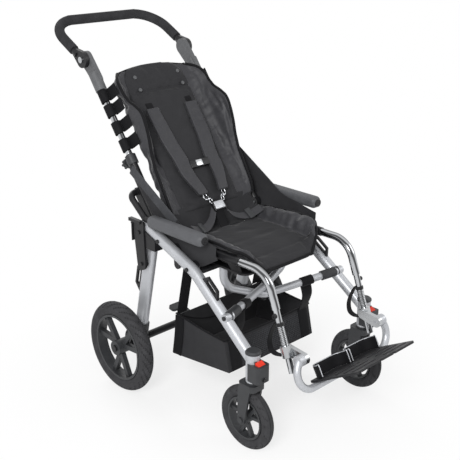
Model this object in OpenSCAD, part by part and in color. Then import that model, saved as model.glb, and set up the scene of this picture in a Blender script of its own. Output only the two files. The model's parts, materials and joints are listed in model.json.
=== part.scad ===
// Special needs buggy: a folding push chair with a padded bucket seat, swivelling casters,
// a telescopic push handle, flip-up armrests, a height-adjustable footrest and a basket.
// Front is -Y, the seated person's left is +X, up is +Z and the wheels stand on Z = 0.
// Side pieces are drawn on the +X side and mirrored for the other side.

/* [Wheels] */
// Diameter of the rear wheels
rear_wheel_d = 303; // [290:1:320]
// Width of the rear tyres
rear_tyre_w = 46; // [38:1:50]
// Depth of the rear tyre from tread to rim seat
rear_tyre_depth = 40; // [34:1:44]
// How far the rear wheels stand outside the side tubes
wheel_out = 69; // [67:1:92]
// Diameter of the front caster wheels
caster_d = 200; // [180:1:205]
// Width of the caster tyres
caster_tyre_w = 36; // [28:1:40]
// Depth of the caster tyre from tread to rim seat
caster_tyre_depth = 33; // [28:1:38]
// How far the caster stems stand outside the side tubes
caster_out = 15; // [12:1:27]
// How far a caster wheel trails behind its stem
caster_trail = 21; // [16:1:30]
// Place of the caster stems along the buggy
stem_y = -298; // [-310:1:-290]

/* [Side frame] */
// Distance between the side tubes at the seat
frame_w = 476; // [472:2:500]
// Outside diameter of the side tubes
tube_d = 35; // [32:1:36]
// Place of the upper rear end of a side tube
tube_end_y = 190; // [186:1:200]
// Height of the upper rear end of a side tube
tube_end_z = 573; // [568:1:580]
// Place of the bend in a side tube
tube_bend_y = -38; // [-50:1:-30]
// Height of the bend in a side tube
tube_bend_z = 482; // [476:1:488]
// Radius of that bend
tube_bend_r = 150; // [100:5:250]
// Diameter of the caster socket
socket_d = 42; // [38:1:46]
// Height of the caster socket
socket_h = 88; // [80:1:96]

/* [Rear legs] */
// Place of the leg pivot
leg_pivot_y = 182; // [178:1:188]
// Height of the leg pivot
leg_pivot_z = 447; // [440:1:452]
// How far the legs stand inside the side tubes
leg_in = 8; // [7:1:10]
// Width of a leg across the buggy
leg_w = 28; // [24:1:30]
// Depth of a leg along the buggy
leg_depth = 48; // [42:1:52]
// Place of the rear axle
axle_y = 248; // [240:1:256]
// Diameter of the rear axle
axle_d = 12; // [10:1:14]
// Diameter of the cross tube round the axle
cross_tube_d = 25; // [22:1:30]

/* [Back] */
// Place of the back pivot on the side tubes
back_y = 142; // [136:1:146]
// Angle of the back above the horizontal
back_angle = 54.3; // [52:0.1:57]
// Gap between a side tube and a back post
post_gap = 2; // [1:0.5:3]
// Outside diameter of the back posts
post_d = 25; // [24:1:25]
// Length of the back posts
post_l = 262; // [250:1:272]
// Diameter of the masts that slide in the posts
mast_d = 21; // [18:1:21]
// Length of the back pad
back_pad_l = 520; // [490:2:540]
// Gap between the back pad's wings and the posts
pad_gap = 3.5; // [3:0.5:13]
// Greatest depth of the wings
wing_depth = 113; // [90:1:114]

/* [Push handle] */
// Place of the handle joint
joint_y = 503; // [498:1:508]
// Height of the handle joint
joint_z = 1038; // [1032:1:1046]
// Angle of the handle above the horizontal
handle_angle = 28.6; // [15:0.1:40]
// Reach of the handle from its joint
handle_l = 209; // [190:1:230]
// Radius of the handle's bends
handle_bend_r = 95; // [70:1:110]
// Diameter of the handle tube
handle_tube_d = 24; // [20:1:26]
// Diameter of the foam grip
grip_d = 33; // [30:1:36]

/* [Armrests] */
// How far the armrests stand outside the side tubes
arm_out = 10; // [9:1:17]
// Place of the armrest pivots
arm_pivot_y = 250; // [248:1:256]
// Height of the armrest pivots
arm_pivot_z = 657; // [652:1:658]
// Length of an armrest pad
arm_pad_l = 246; // [220:2:270]
// Width of an armrest pad
arm_pad_w = 40; // [34:1:42]
// Height of an armrest pad
arm_pad_h = 38; // [32:1:42]
// Height of an armrest pad's middle
arm_pad_z = 595; // [592:1:606]
// Diameter of the armrest tubes
arm_tube_d = 20; // [16:1:22]

/* [Footrest] */
// How far the hangers stand inside the side tubes
hanger_in = 58; // [56:1:63]
// Diameter of the hangers
hanger_d = 24; // [22:1:26]
// Height of the hangers under the seat
hanger_z = 534; // [532:1:535]
// Place of the bend of the hangers
hanger_bend_y = -277; // [-284:1:-270]
// Angle of the hangers below the horizontal
hanger_angle = 69.3; // [64:0.1:72]
// Radius of the hangers' bend
hanger_bend_r = 75; // [65:1:85]
// Straight length of the hangers below the bend
hanger_l = 108; // [106:1:112]
// Diameter of the extension tubes
extension_d = 19; // [16:1:19]
// Length of the extension tubes
extension_l = 235; // [226:1:244]
// How far the footplate's rear corners lie inside the hangers
plate_in = 38; // [35:1:50]
// Depth of the footplate
plate_l = 188; // [170:1:200]
// Thickness of the footplate
plate_t = 6; // [5:0.5:8]
// Angle of the footplate, toes up
plate_angle = 30; // [24:0.5:34]

/* [Seat] */
// Gap between the seat pad and the posts
seat_gap = 1.5; // [0.5:0.5:8.5]
// Place of the front lip of the seat pad
seat_front_y = -205; // [-210:1:-198]
// Place of the rear end of the seat pad
seat_rear_y = 100; // [92:1:102]
// Height of the seat pad's middle
seat_top_z = 530; // [524:1:534]
// Thickness of the seat pad in its middle
seat_t = 46; // [40:1:48]
// Rise of the side bolsters above the middle
bolster_h = 53; // [45:1:55]

/* [Basket] */
// How far the basket's sides lie inside the side tubes
basket_in = 43; // [40:1:58]
// Thickness of the basket's walls
basket_t = 4; // [3:0.5:6]

/* [Hidden] */
$fn = 48;
// Overrun of a cut past the face it leaves
cut = 2;
// Radial clearance of a running fit
run_fit = 0.05;
// Clearance between pieces that are fixed together
seat_fit = 0.1;
// Clearance between a soft piece or a neighbour that moves and what it nears
clear_gap = 0.3;

// Step at a tube's bends and how far the straights run into them
bend_step = 0.2;
bend_lap = 0.5;

// Axis directions and the middle plane
right_angle = 90;
half_turn = 180;
steep_share = 0.9;
sides = [-1, 1];

// Casters
axle_bolt_d = 12;
crown_gap = 4;
crown_t = 19;
crown_z = caster_d + crown_gap;
crown_front = 26;
crown_rear = 36;
stem_d = 20;
stem_l = 74;
stem_end_gap = 4;
fork_wall = 7;
fork_gap = 3;
fork_inner_w = caster_tyre_w + 2 * fork_gap;
fork_w = fork_inner_w + 2 * fork_wall;
fork_root_r = 23;
fork_tip_r = 14;
fork_bolt_head_d = 18;
fork_bolt_head_t = 4;
crown_collar_d = 44;
crown_collar_h = 5;
swivel_gap = 0.7;
socket_z0 = crown_z + crown_t + crown_collar_h + swivel_gap;
frame_x = frame_w / 2;
stem_x = frame_x + caster_out;
hanger_x = frame_x - hanger_in;
basket_w = 2 * (frame_x - basket_in);
wheel_y = stem_y + caster_trail;
caster_r = caster_d / 2;
caster_bore_r = caster_r - caster_tyre_depth;
caster_hub_r = 17;
caster_rim_t = 6;
caster_rim_w_share = 0.8;
spoke_root_share = 0.8;
caster_spoke_r = 5;
caster_spoke_t = 12;
spoke_spread = 20;
spoke_pairs = 3;

// Side frame
tube_foot_up = 62;
tube_a = [frame_x, tube_end_y, tube_end_z];
tube_b = [frame_x, tube_bend_y, tube_bend_z];
tube_c = [stem_x, stem_y, socket_z0 + tube_foot_up];
tube_r = tube_d / 2;
lug_y = -190;
lug_up = 18;
lug_d = 26;
lug_w = 30;
pivot_d = 12;
pin_reach = 50;
plug_t = 5;
cap_h = 9;
cap_rim_h = 5;
cap_over = 2;

// Swivel lock
lock_w = 50;
lock_front = 44;
lock_rear = 3;
lock_h = 52;
lock_up = 9;
lock_corner_r = 9;
lock_back_h = 10;
lock_back_t = 10;
button_w = 26;
button_l = 15;
button_h = 16;
button_sink = 8;
button_front = 8;
button_slope_share = 0.55;
lock_screw_d = 12;
lock_screw_t = 5;
lock_screw_up = 10;

// Fold bracket and lever
bracket_t = 8;
bracket_low_r = 20;
bracket_top_y = 190;
bracket_top_z = 550;
bracket_top_r = 24;
flange_front_y = 178;
flange_rear_y = 233;
flange_z = 580;
flange_t = 10;
flange_w = 13;
block_front_y = 118;
block_rear_y = 206;
block_drop = 5;
lever_y = 219;
lever_t = 4;
lever_w = 12;
lever_l = 58;
lever_knuckle_d = 8;
bracket_x = frame_x + tube_r + seat_fit;
bolt_head_d = 13;
bolt_head_t = 4;
tube_bolt_ys = [108, -24];

// Tie-down plates
tie_t = 8;
front_tie_from = 30;
front_tie_l = 104;
front_tie_h = 42;
front_tie_top_from_share = 0.2;
front_tie_top_to_share = 0.72;
front_tie_slot_from_share = 0.3;
front_tie_slot_to_share = 0.66;
tie_slot_w = 12;
tie_rim = 7;
rear_tie_from = 44;
rear_tie_l = 86;
rear_tie_h = 28;
rear_tie_slope_share = 0.72;

// Rear legs and axle
leg_x = frame_x - leg_in;
axle_z = rear_wheel_d / 2;
leg_head = 50;
leg_foot_up = 24;
housing_r = 30;
housing_wall = 4;
housing_up = 72;
brake_plate_r = 44;
brake_plate_t = 10;
hub_w = 50;
axle_collar_d = 22;
axle_nut_t = 6;
axle_nut_d = 22;
rear_bore_r = rear_wheel_d / 2 - rear_tyre_depth;
rear_hub_r = 24;
rear_rim_t = 8;
rear_rim_w_share = 0.8;
rear_spoke_r = 8;
rear_spoke_t = 16;
band_w_share = 0.8;
wheel_x = frame_x + wheel_out;
pedal_w = 70;
pedal_l = 74;
pedal_t = 10;
pedal_ring_wall = 6;
pedal_pad_l = 30;
pedal_angle = 14;

// Cross braces
brace_d = 24;
brace_grip = brace_d / 2 + bend_step + seat_fit;
brace_bend_r = 60;
brace_end_y = -190;
brace_cross_y = -96;
brace_cross_z = 364;
brace_cross_gap = 29;
brace_low_lift = 2.3;
brace_high_lift = 0.5;
low_brace_z = brace_cross_z - brace_cross_gap / 2 + brace_low_lift;
high_brace_z = brace_cross_z + brace_cross_gap / 2 + brace_high_lift;
brace_rear_in = 40;
brace_rear_x = hanger_x - brace_rear_in;
brace_rear_y = -59;
brace_rear_z = 409;
brace_start_in = 32;
collar_d = 31;
collar_l = 30;
cross_bolt_head_d = 16;
cross_bolt_head_t = 5;
low_bolt_drop = 0.4;
high_bolt_lift = 1.3;

// Seat base
pan_in = 24;
pan_w = 2 * (hanger_x - pan_in);
pan_front_y = -168;
pan_rear_y = 96;
pan_t = 6;
pan_z = seat_top_z - seat_t - pan_t - clear_gap;
rail_d = 28;
rail_front_y = -172;
rail_rear_y = 92;
rail_strap_w = 40;
rail_strap_ys = [-130, 50];
cross_bar_d = 22;
cross_bar_ys = [-20, 62];
cross_link_r = 16;
cross_link_foot_r = 13;
cross_link_t = 6;
bar_z = pan_z - cross_bar_d / 2 - seat_fit;

// Back, masts and handle
post_x = frame_x - tube_r - post_gap - post_d / 2;
back_pad_w = 2 * (post_x - post_d / 2 - pad_gap);
seat_w = 2 * (post_x - post_d / 2 - seat_gap);
knuckle_d = 34;
knuckle_w = 25;
bore_wall = 10;
mast_in = 150;
mast_top = 520;
sleeve_from = 486;
sleeve_d = 37;
sleeve_l = 62;
clamp_d = 35;
clamp_l = 30;
clamp_drop = 3;
boss_d = 18;
boss_reach = 24;
knob_d = 32;
knob_h = 15;
knob_lobes = 6;
knob_lobe_share = 0.28;
knob_pin_d = 8;
arm_r = 20;
disc_r = 26;
disc_t = 14;
disc_neck_r = 9;
arm_drop = 3;
lower_disc_in = 11;
lower_disc_x = post_x - lower_disc_in;
handle_x = lower_disc_x + disc_t + clear_gap + disc_t / 2;
cap_button_d = 20;
cap_button_l = 12;
cap_button_out = 5;
joint_pin_d = 10;
grip_from = 52;
loop_d = 30;
loop_l = 34;
// First loop past the post's end, last loop short of the sleeve
loop_past = 32;
loop_short = 22;
loop_shares = [0, 0.352941, 0.705882, 1];
loop_ss = [for (share = loop_shares) between(post_l + loop_past, sleeve_from - loop_short, share)];
loop_tab_t = 3;
loop_tab_l = 58;

// Armrests
arm_x = frame_x + arm_out;
arm_room = 3;
arm_bend_r = 24;
arm_pad_front_y = -96;
arm_tube_end_in = 90;
arm_bracket_in = 10;
arm_bracket_out = 12;
arm_bracket_x0 = post_x - arm_bracket_in;
arm_bracket_x1 = post_x + arm_bracket_out;
arm_bracket_r = 14;
arm_bracket_foot_s = 26;
arm_bracket_off = 25.6;
arm_bracket_foot_r = 12;
arm_bracket_boss_d = 20;
arm_pin_d = 10;
arm_corner_share = 0.32;
arm_nose_l = 14;
arm_nose_share = 0.8;

// Footrest
plate_w = 2 * (hanger_x - plate_in);
hanger_back_y = -140;
extension_in = 48;
extension_seat_l = 54;
clamp_at = 123;
elbow_reach_y = 53;
elbow_drop = 8;
elbow_ring_d = 33;
elbow_ring_l = 34;
elbow_disc_r = 17;
elbow_disc_w = 14;
elbow_disc_in = 20;
elbow_disc_x = hanger_x - elbow_disc_in;
bar_d = 22;
bar_arc_r = 52;
bar_arc_in = 29;
bar_arc_x = hanger_x - bar_arc_in;
bar_lean = 15;
bar_arc_turn = 140;
elbow_pin_d = 10;
plate_corner_r = 14;
plate_taper = 9;
plate_seat_y = 18.4;
plate_notch_x = 30;
plate_notch_d = 10;
plate_rib_y = 60;
plate_rib_pitch = 16;
plate_rib_count = 4;
plate_rib_w = 5;
plate_rib_h = 1.5;
plate_rib_l_share = 0.36;
saddle_w = 34;
saddle_x_share = 0.2465;
saddle_x = plate_w * saddle_x_share;
saddle_share = 0.7;
heel_h = 38;
heel_t = 4;
heel_gap = 8;
heel_margin = 10;
heel_w = (plate_w - heel_gap) / 2 - heel_margin;
heel_return = 46;
heel_corner_r = 16;
strap_w = 24;
strap_t = 2.5;
calf_drop = 88;
calf_sag = 62;
calf_from = 32;
// Rows: share of the drop, share of the sag
calf_shares = [[0, 0.175], [0.22, 0.57], [0.56, 0.98], [0.86, 1], [1, 0.7], [1.12, 0.3]];

// Seat pad: shares of the half width, of the bolster's rise and of the length
seat_lip_drop = 33;
seat_x_shares = [0, 0.36, 0.62, 0.72, 0.76, 0.8, 0.85, 0.93, 1];
seat_top_shares = [0, -0.02, 0.05, 0.18, 0.36, 0.62, 0.9, 1, 0.7];
seat_bottom_shares = [0, 0, 0, 0.1, 0.68, 1.06, 1.26, 1.26, 1.26];
// Rows: share of the length, width, rise of the top, rise of the bottom, drop of the lip
seat_rows = [
    [0, 0.56, 0, 0, 1], [0.03, 0.68, 0.3, 0.12, 0.86], [0.07, 0.77, 0.62, 0.5, 0.7], [0.115, 0.82, 0.86, 0.85, 0.55],
    [0.17, 0.95, 0.97, 1, 0.4], [0.25, 1, 1, 1, 0.24], [0.4, 1, 1, 1, 0.06], [0.55, 1, 1, 1, 0], [0.7, 1, 1, 1, 0],
    [0.85, 1, 1, 1, 0], [0.95, 0.99, 0.96, 1, 0], [1, 0.98, 0.85, 1, 0]];

// Back pad: shares of the half width, forward reach, panel thickness and wing thickness
back_pad_from = 25;
back_pad_off = 2;
back_pad_t = 30;
wing_t = 22;
back_x_shares = [0, 0.3, 0.6, 0.8, 0.91, 0.98, 1, 1];
back_o_shares = [0, 0, 0, 0.03, 0.14, 0.36, 0.7, 1];
back_t_shares = [1, 1, 0.97, 0.95, 0.85, 0.5, 0.2, 0];
back_w_shares = [0, 0, 0, 0.2, 0.6, 1, 1, 0.6];
back_arch = 34;
// Rows: share of the length, share of the wing depth, width, share of the arch
back_rows = [
    [0, 0.3, 0.98, 0], [0.07, 0.38, 1, 0], [0.175, 0.43, 1, 0], [0.295, 0.48, 1, 0], [0.394, 0.62, 1, 0],
    [0.471, 0.78, 1, 0], [0.53, 0.87, 1, 0], [0.587, 0.93, 1, 0], [0.633, 0.94, 1, 0], [0.683, 0.82, 1, 0],
    [0.742, 0.62, 1, 0], [0.798, 0.54, 1, 0.05], [0.85, 0.52, 1, 0.12], [0.895, 0.47, 0.98, 0.3],
    [0.935, 0.41, 0.94, 0.5], [0.965, 0.34, 0.89, 0.75], [0.985, 0.26, 0.84, 0.9], [1, 0.18, 0.78, 1]];

// Side panels: corners as places along the posts and forward of them
panel_t = 1;
panel_drop = 38;
panel_corners = [
    [post_l - panel_drop, 9.7], [post_l - panel_drop, -12], [60, -12], [14, 30], [-20, 72], [-146, 208], [-133, 218], [-14, 111]];

// Harness
shoulder_w = 44;
shoulder_t = 5;
// Rows: share of the pad's width, place along the posts and forward of them
clip_x_share = 0.163158;
shoulder_rows = [
    [0.089474, 60, 62], [0.121053, 95, 57], [clip_x_share, 140, 49], [clip_x_share, 195, 43],
    [0.194737, 255, 38], [0.210526, 345, 35.2], [0.215789, 395, 35.2]];
clip_s = 167;
clip_o = 44;
clip_t = 8;
clip_w = 2 * (back_pad_w * clip_x_share - shoulder_w / 2 - clear_gap);
clip_l = 26;
strap_wide = 36;
strap_thick = 3;
lap_tilt = 60;
buckle_y = 108;
buckle_lift = 62;
buckle_place = [0, buckle_y, seat_top_z + buckle_lift];
buckle_tilt = 50;
buckle_w = 46;
buckle_l = 46;
buckle_t = 12;
lap_x_shares = [0.390625, 0.260417, 0.104167];
// Places forward of the buckle and above the seat
lap_ins = [44, 24, 4, 0];
lap_lifts = [40, 44, 56, 60];
lap_points = [for (i = [0 : len(lap_ins) - 1]) [
    i < len(lap_x_shares) ? seat_w * lap_x_shares[i] : buckle_w / 2 + clear_gap,
    buckle_y - lap_ins[i], seat_top_z + lap_lifts[i]]];
crotch_ins = [28, 14, 0.1];
crotch_lifts = [0.4, 25, 58.6];
crotch_points = [for (i = [0 : len(crotch_ins) - 1]) [0, buckle_y - crotch_ins[i], seat_top_z + crotch_lifts[i]]];

// Basket: corners in the side view, and straps as low end and high end
basket_rear_low_y = 127;
basket_rear_low_z = 130;
basket_front_low_y = -140;
basket_front_low_z = 162;
basket_front_top_y = -118;
basket_front_top_z = 262;
basket_rear_top_y = 104;
basket_rear_top_z = 281;
basket_strap_share = 0.435897;
basket_straps = [[-120, 256, -163, 361], [102, 276, 64, 455.2]];

// Unit vector along v
function unit(v) = v / norm(v);
// Axes at the point o with local Z along w
function axes_at(o, w) =
    let(z = unit(w), ref = abs(z.x) > steep_share ? [0, 1, 0] : [1, 0, 0], y = unit(cross(z, ref)), x = cross(y, z))
    columns(x, y, z, o);
// Matrix with the given columns
function columns(x, y, z, o) =
    [[x.x, y.x, z.x, o.x], [x.y, y.y, z.y, o.y], [x.z, y.z, z.z, o.z], [0, 0, 0, 1]];
// Turn at q on the way from p to s, and what a bend of radius r takes off each leg there
function turn(p, q, s) = acos(min(1, unit(q - p) * unit(s - q)));
function trim(p, q, s, r) = r * tan(turn(p, q, s) / 2);
// Value between two rows of a table of [place, value] pairs
function between(a, b, t) = a + (b - a) * t;

// Round bar from a to b
module rod(a, b, d) multmatrix(axes_at(a, b - a)) cylinder(d = d, h = norm(b - a));
// Round bar across the buggy
module x_rod(x0, x1, y, z, d) translate([x0, y, z]) rotate([0, right_angle, 0]) cylinder(d = d, h = x1 - x0);
// Round bend of radius r at q
module elbow(p, q, s, r, d) {
    u = unit(q - p);
    n = unit(cross(u, unit(s - q)));
    inward = cross(n, u);
    centre = q - u * trim(p, q, s, r) + inward * r;
    multmatrix(columns(-inward, u, n, centre))
        rotate_extrude(angle = turn(p, q, s)) translate([r, 0]) circle(d = d);
}
// Tube through the points, with bends of radius r. The bends are a hair thicker, and the straights run into them
module pipe(points, r, d) {
    last = len(points) - 1;
    for (i = [0 : last - 1]) {
        way = unit(points[i + 1] - points[i]);
        from = i == 0 ? points[0]
            : points[i] + way * (trim(points[i - 1], points[i], points[i + 1], r) - bend_lap);
        to = i == last - 1 ? points[last]
            : points[i + 1] - way * (trim(points[i], points[i + 1], points[i + 2], r) - bend_lap);
        rod(from, to, d);
    }
    for (i = [1 : 1 : last - 1]) elbow(points[i - 1], points[i], points[i + 1], r, d + 2 * bend_step);
}
// Outline of a strap link between two round ends
module link2d(p, rp, q, rq) {
    way = atan2(q.y - p.y, q.x - p.x);
    lean = acos((rp - rq) / norm(q - p));
    polygon([
        p + rp * [cos(way + lean), sin(way + lean)], q + rq * [cos(way + lean), sin(way + lean)],
        q + rq * [cos(way - lean), sin(way - lean)], p + rp * [cos(way - lean), sin(way - lean)]]);
    translate(p) circle(r = rp);
    translate(q) circle(r = rq);
}
// Rectangle with round corners
module round_rect(w, l, r) {
    square([w - 2 * r, l], center = true);
    square([w, l - 2 * r], center = true);
    for (x = sides, y = sides) translate([x * (w / 2 - r), y * (l / 2 - r)]) circle(r = r);
}
// Oval with straight sides along y
module stadium(w, l) {
    square([w, l - w], center = true);
    for (y = sides) translate([0, y * (l - w) / 2]) circle(d = w);
}
// Outline in the side view, thickened from x0 across the buggy
module side_plate(x0, w) multmatrix(columns([0, 1, 0], [0, 0, 1], [1, 0, 0], [x0, 0, 0])) linear_extrude(w) children();
// Outline in the front view, thickened forwards from y0
module front_plate(y0, l) multmatrix(columns([1, 0, 0], [0, 0, 1], [0, -1, 0], [0, y0, 0])) linear_extrude(l) children();
// One side or both sides of the buggy
module on_side(s) mirror([s < 0 ? 1 : 0, 0, 0]) children();
module both() for (s = sides) on_side(s) children();
// Closed solid between two grids of points
module slab(top, bottom) {
    m = len(top);
    n = len(top[0]);
    k = m * n;
    cells = [for (j = [0 : m - 2], i = [0 : n - 2]) [j * n + i, j * n + i + 1, (j + 1) * n + i + 1, (j + 1) * n + i]];
    rim = concat(
        [for (i = [0 : 1 : n - 2]) [i, i + 1]], [for (j = [0 : 1 : m - 2]) [j * n + n - 1, (j + 1) * n + n - 1]],
        [for (i = [n - 1 : -1 : 1]) [(m - 1) * n + i, (m - 1) * n + i - 1]],
        [for (j = [m - 1 : -1 : 1]) [j * n, (j - 1) * n]]);
    polyhedron(
        points = concat([for (row = top) for (p = row) p], [for (row = bottom) for (p = row) p]),
        faces = concat(
            [for (c = cells) [c[2], c[1], c[0]]], [for (c = cells) [c[3], c[2], c[0]]],
            [for (c = cells) [c[0] + k, c[1] + k, c[2] + k]], [for (c = cells) [c[0] + k, c[2] + k, c[3] + k]],
            [for (e = rim) [e[0], e[1], e[1] + k]], [for (e = rim) [e[0], e[1] + k, e[0] + k]]));
}
// Flat band through the points: w is its width and t its thickness, as vectors
module ribbon(points, w, t) slab(
    [for (p = points) [p - w / 2 + t / 2, p + w / 2 + t / 2]],
    [for (p = points) [p - w / 2 - t / 2, p + w / 2 - t / 2]]);

// Places on the side tube, by their place along the buggy
function tube_at(y) = y > tube_bend_y
    ? between(tube_b, tube_a, (y - tube_bend_y) / (tube_end_y - tube_bend_y))
    : between(tube_b, tube_c, (y - tube_bend_y) / (stem_y - tube_bend_y));
lug = tube_at(lug_y) + [0, 0, lug_up];
back_z = tube_at(back_y).z;
// Place on the back: across, along the posts and forward of them
function on_back(x, s, o) = [x, back_y, back_z]
    + s * [0, cos(back_angle), sin(back_angle)] + o * [0, -sin(back_angle), cos(back_angle)];
// Side tube, thickened by extra all round
module side_tube(extra) pipe([tube_a, tube_b, tube_c], tube_bend_r, tube_d + 2 * extra);
// Straight runs of the side tube, as room for what is fixed on it
tube_way = unit(tube_a - tube_b);
module upper_run(extra) rod(tube_b, tube_a + tube_way * (plug_t + extra), tube_d + 2 * extra);
module lower_run(extra) rod(tube_b, tube_c, tube_d + 2 * extra);
module tube_plug() rod(tube_a, tube_a + tube_way * plug_t, tube_d);
module brace_lug(extra)
    x_rod(lug.x - lug_w / 2 - extra, lug.x + lug_w / 2 + extra, lug.y, lug.z, lug_d + 2 * extra);

module side_frame(s) color("silver") on_side(s) difference() {
    union() {
        side_tube(0);
        translate([stem_x, stem_y, socket_z0]) cylinder(d = socket_d, h = socket_h);
        brace_lug(0);
        x_rod(frame_x - pin_reach, frame_x, back_y, back_z, pivot_d);
    }
    translate([stem_x, stem_y, socket_z0 - cut])
        cylinder(d = stem_d + 2 * run_fit, h = cut + stem_l + stem_end_gap);
}

module plastic_caps() color("dimgray") {
    both() {
        difference() {
            translate([stem_x, stem_y, socket_z0 + socket_h]) {
                cylinder(d = socket_d + 2 * cap_over, h = cap_rim_h);
                translate([0, 0, cap_rim_h])
                    cylinder(d1 = socket_d + 2 * cap_over, d2 = socket_d - 2 * cap_over, h = cap_h - cap_rim_h);
            }
            lower_run(seat_fit);
        }
        tube_plug();
    }
    for (s = sides) on_side(s) brace_collar(s * brace_cross_gap / 2);
}

module brace_collar(drop) difference() {
    way = brace_way(drop);
    start = brace_start(drop);
    rod(brace_root, start + way * collar_l, collar_d);
    rod(start - way * seat_fit, start + way * (collar_l + cut), brace_d + 2 * seat_fit);
    lower_run(seat_fit);
    brace_lug(seat_fit);
}

// Cross braces: each starts in a collar at a side tube's lug and ends under the far side of the seat pan
brace_root = [lug.x, brace_end_y, lug.z];
function brace_way(drop) = unit([0, brace_cross_y, brace_cross_z - drop] - brace_root);
function brace_start(drop) = brace_root + brace_way(drop) * brace_start_in;
module brace(drop) pipe([
    brace_start(drop), [0, brace_cross_y, brace_cross_z - drop], [-brace_rear_x, brace_rear_y, brace_rear_z],
    [-brace_rear_x, brace_rear_y, pan_z - seat_fit]], brace_bend_r, brace_d);
module cross_braces() color("silver") {
    brace(brace_cross_gap / 2);
    mirror([1, 0, 0]) brace(-brace_cross_gap / 2);
}

module frame_bolts() color("gray") {
    both() {
        for (p = [[leg_pivot_y, leg_pivot_z], [bracket_top_y, bracket_top_z]])
            x_rod(bracket_x + bracket_t, bracket_x + bracket_t + bolt_head_t, p.x, p.y, bolt_head_d);
        for (y = tube_bolt_ys)
            x_rod(frame_x + tube_r + clear_gap, frame_x + tube_r + bolt_head_t, y, tube_at(y).z, bolt_head_d);
        x_rod(lug.x + lug_w / 2, lug.x + lug_w / 2 + bolt_head_t, lug.y, lug.z, bolt_head_d);
        translate([stem_x, stem_y - lock_front, socket_z0 + lock_up + lock_screw_up])
            rotate([right_angle, 0, 0]) cylinder(d = lock_screw_d, h = lock_screw_t);
    }
    for (z = [low_brace_z - brace_grip - low_bolt_drop - cross_bolt_head_t, high_brace_z + brace_grip + high_bolt_lift])
        translate([0, brace_cross_y, z]) cylinder(d = cross_bolt_head_d, h = cross_bolt_head_t);
}

// Front tie-down plates stand on the lower run of the side tubes
module front_tie_down() {
    u = unit(tube_c - tube_b);
    w = unit(cross(u, [0, 0, 1]));
    slot_v = front_tie_h - tie_rim - tie_slot_w / 2;
    difference() {
        multmatrix(columns(u, cross(w, u), w, tube_b + u * front_tie_from))
            translate([0, 0, -tie_t / 2]) linear_extrude(tie_t) difference() {
                polygon([
                    [0, 0], [front_tie_top_from_share * front_tie_l, front_tie_h],
                    [front_tie_top_to_share * front_tie_l, front_tie_h], [front_tie_l, 0]]);
                link2d([front_tie_slot_from_share * front_tie_l, slot_v], tie_slot_w / 2,
                    [front_tie_slot_to_share * front_tie_l, slot_v], tie_slot_w / 2);
            }
        lower_run(seat_fit);
    }
}
module front_tie_downs() color("dimgray") both() front_tie_down();

// Fold brackets: outer plate, top flange, stop block under the tube and the leg pivot pin
block_low_z = leg_pivot_z + norm([leg_head, leg_depth / 2]) + cut;
module fold_bracket() difference() {
    union() {
        side_plate(bracket_x, bracket_t) {
            link2d([leg_pivot_y, leg_pivot_z], bracket_low_r, [bracket_top_y, bracket_top_z], bracket_top_r);
            translate([bracket_top_y - bracket_top_r, bracket_top_z])
                square([2 * bracket_top_r, flange_z + flange_t - bracket_top_z]);
        }
        translate([bracket_x, flange_front_y, flange_z])
            cube([flange_w, flange_rear_y - flange_front_y, flange_t]);
        side_plate(frame_x - tube_r / 2, bracket_x + bracket_t / 2 - frame_x + tube_r / 2) polygon([
            [block_front_y, block_low_z], [block_rear_y, block_low_z],
            [block_rear_y, tube_at(block_rear_y).z - block_drop], [block_front_y, tube_at(block_front_y).z - block_drop]]);
        x_rod(leg_x - leg_w / 2 - cut, bracket_x + cut, leg_pivot_y, leg_pivot_z, pivot_d);
        x_rod(leg_x + leg_w / 2 + clear_gap, bracket_x + cut, leg_pivot_y, leg_pivot_z, 2 * pivot_d);
    }
    upper_run(seat_fit);
    pipe([[arm_x, arm_pivot_y, arm_pivot_z], [arm_x, arm_pad_rear_y + arm_bend_r, arm_pad_z],
        [arm_x, arm_pad_rear_y, arm_pad_z]], arm_bend_r, arm_tube_d + 2 * arm_room);
}
module fold_brackets() color("dimgray") both() fold_bracket();

lever_z = flange_z - lever_knuckle_d / 2 - clear_gap;
module fold_lever(s) color("dimgray") on_side(s) {
    x_rod(bracket_x, bracket_x + lever_w, lever_y, lever_z, lever_knuckle_d);
    translate([bracket_x, lever_y - lever_t / 2, lever_z - lever_l]) cube([lever_w, lever_t, lever_l]);
}

// Seat base: pan, rails that hold the hangers, and cross bars hung from the side tubes
module seat_base() color("dimgray") difference() {
    union() {
        translate([0, (pan_front_y + pan_rear_y) / 2, pan_z])
            linear_extrude(pan_t) round_rect(pan_w, pan_rear_y - pan_front_y, rail_d);
        both() {
            rod([hanger_x, rail_rear_y, hanger_z], [hanger_x, rail_front_y, hanger_z], rail_d);
            for (y = rail_strap_ys) front_plate(y + rail_strap_w / 2, rail_strap_w)
                link2d([pan_w / 2 - pan_t, pan_z + pan_t / 2], pan_t / 2, [hanger_x, hanger_z], pan_t);
            for (y = cross_bar_ys) side_plate(frame_x - tube_r - clear_gap - cross_link_t, cross_link_t)
                link2d([y, tube_at(y).z], cross_link_r, [y, bar_z], cross_link_foot_r);
        }
        for (y = cross_bar_ys)
            x_rod(-(frame_x - tube_r - cross_link_t), frame_x - tube_r - cross_link_t, y, bar_z, cross_bar_d);
    }
    both() rod([hanger_x, hanger_back_y, hanger_z], [hanger_x, rail_front_y - cut, hanger_z], hanger_d + 2 * seat_fit);
}

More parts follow.
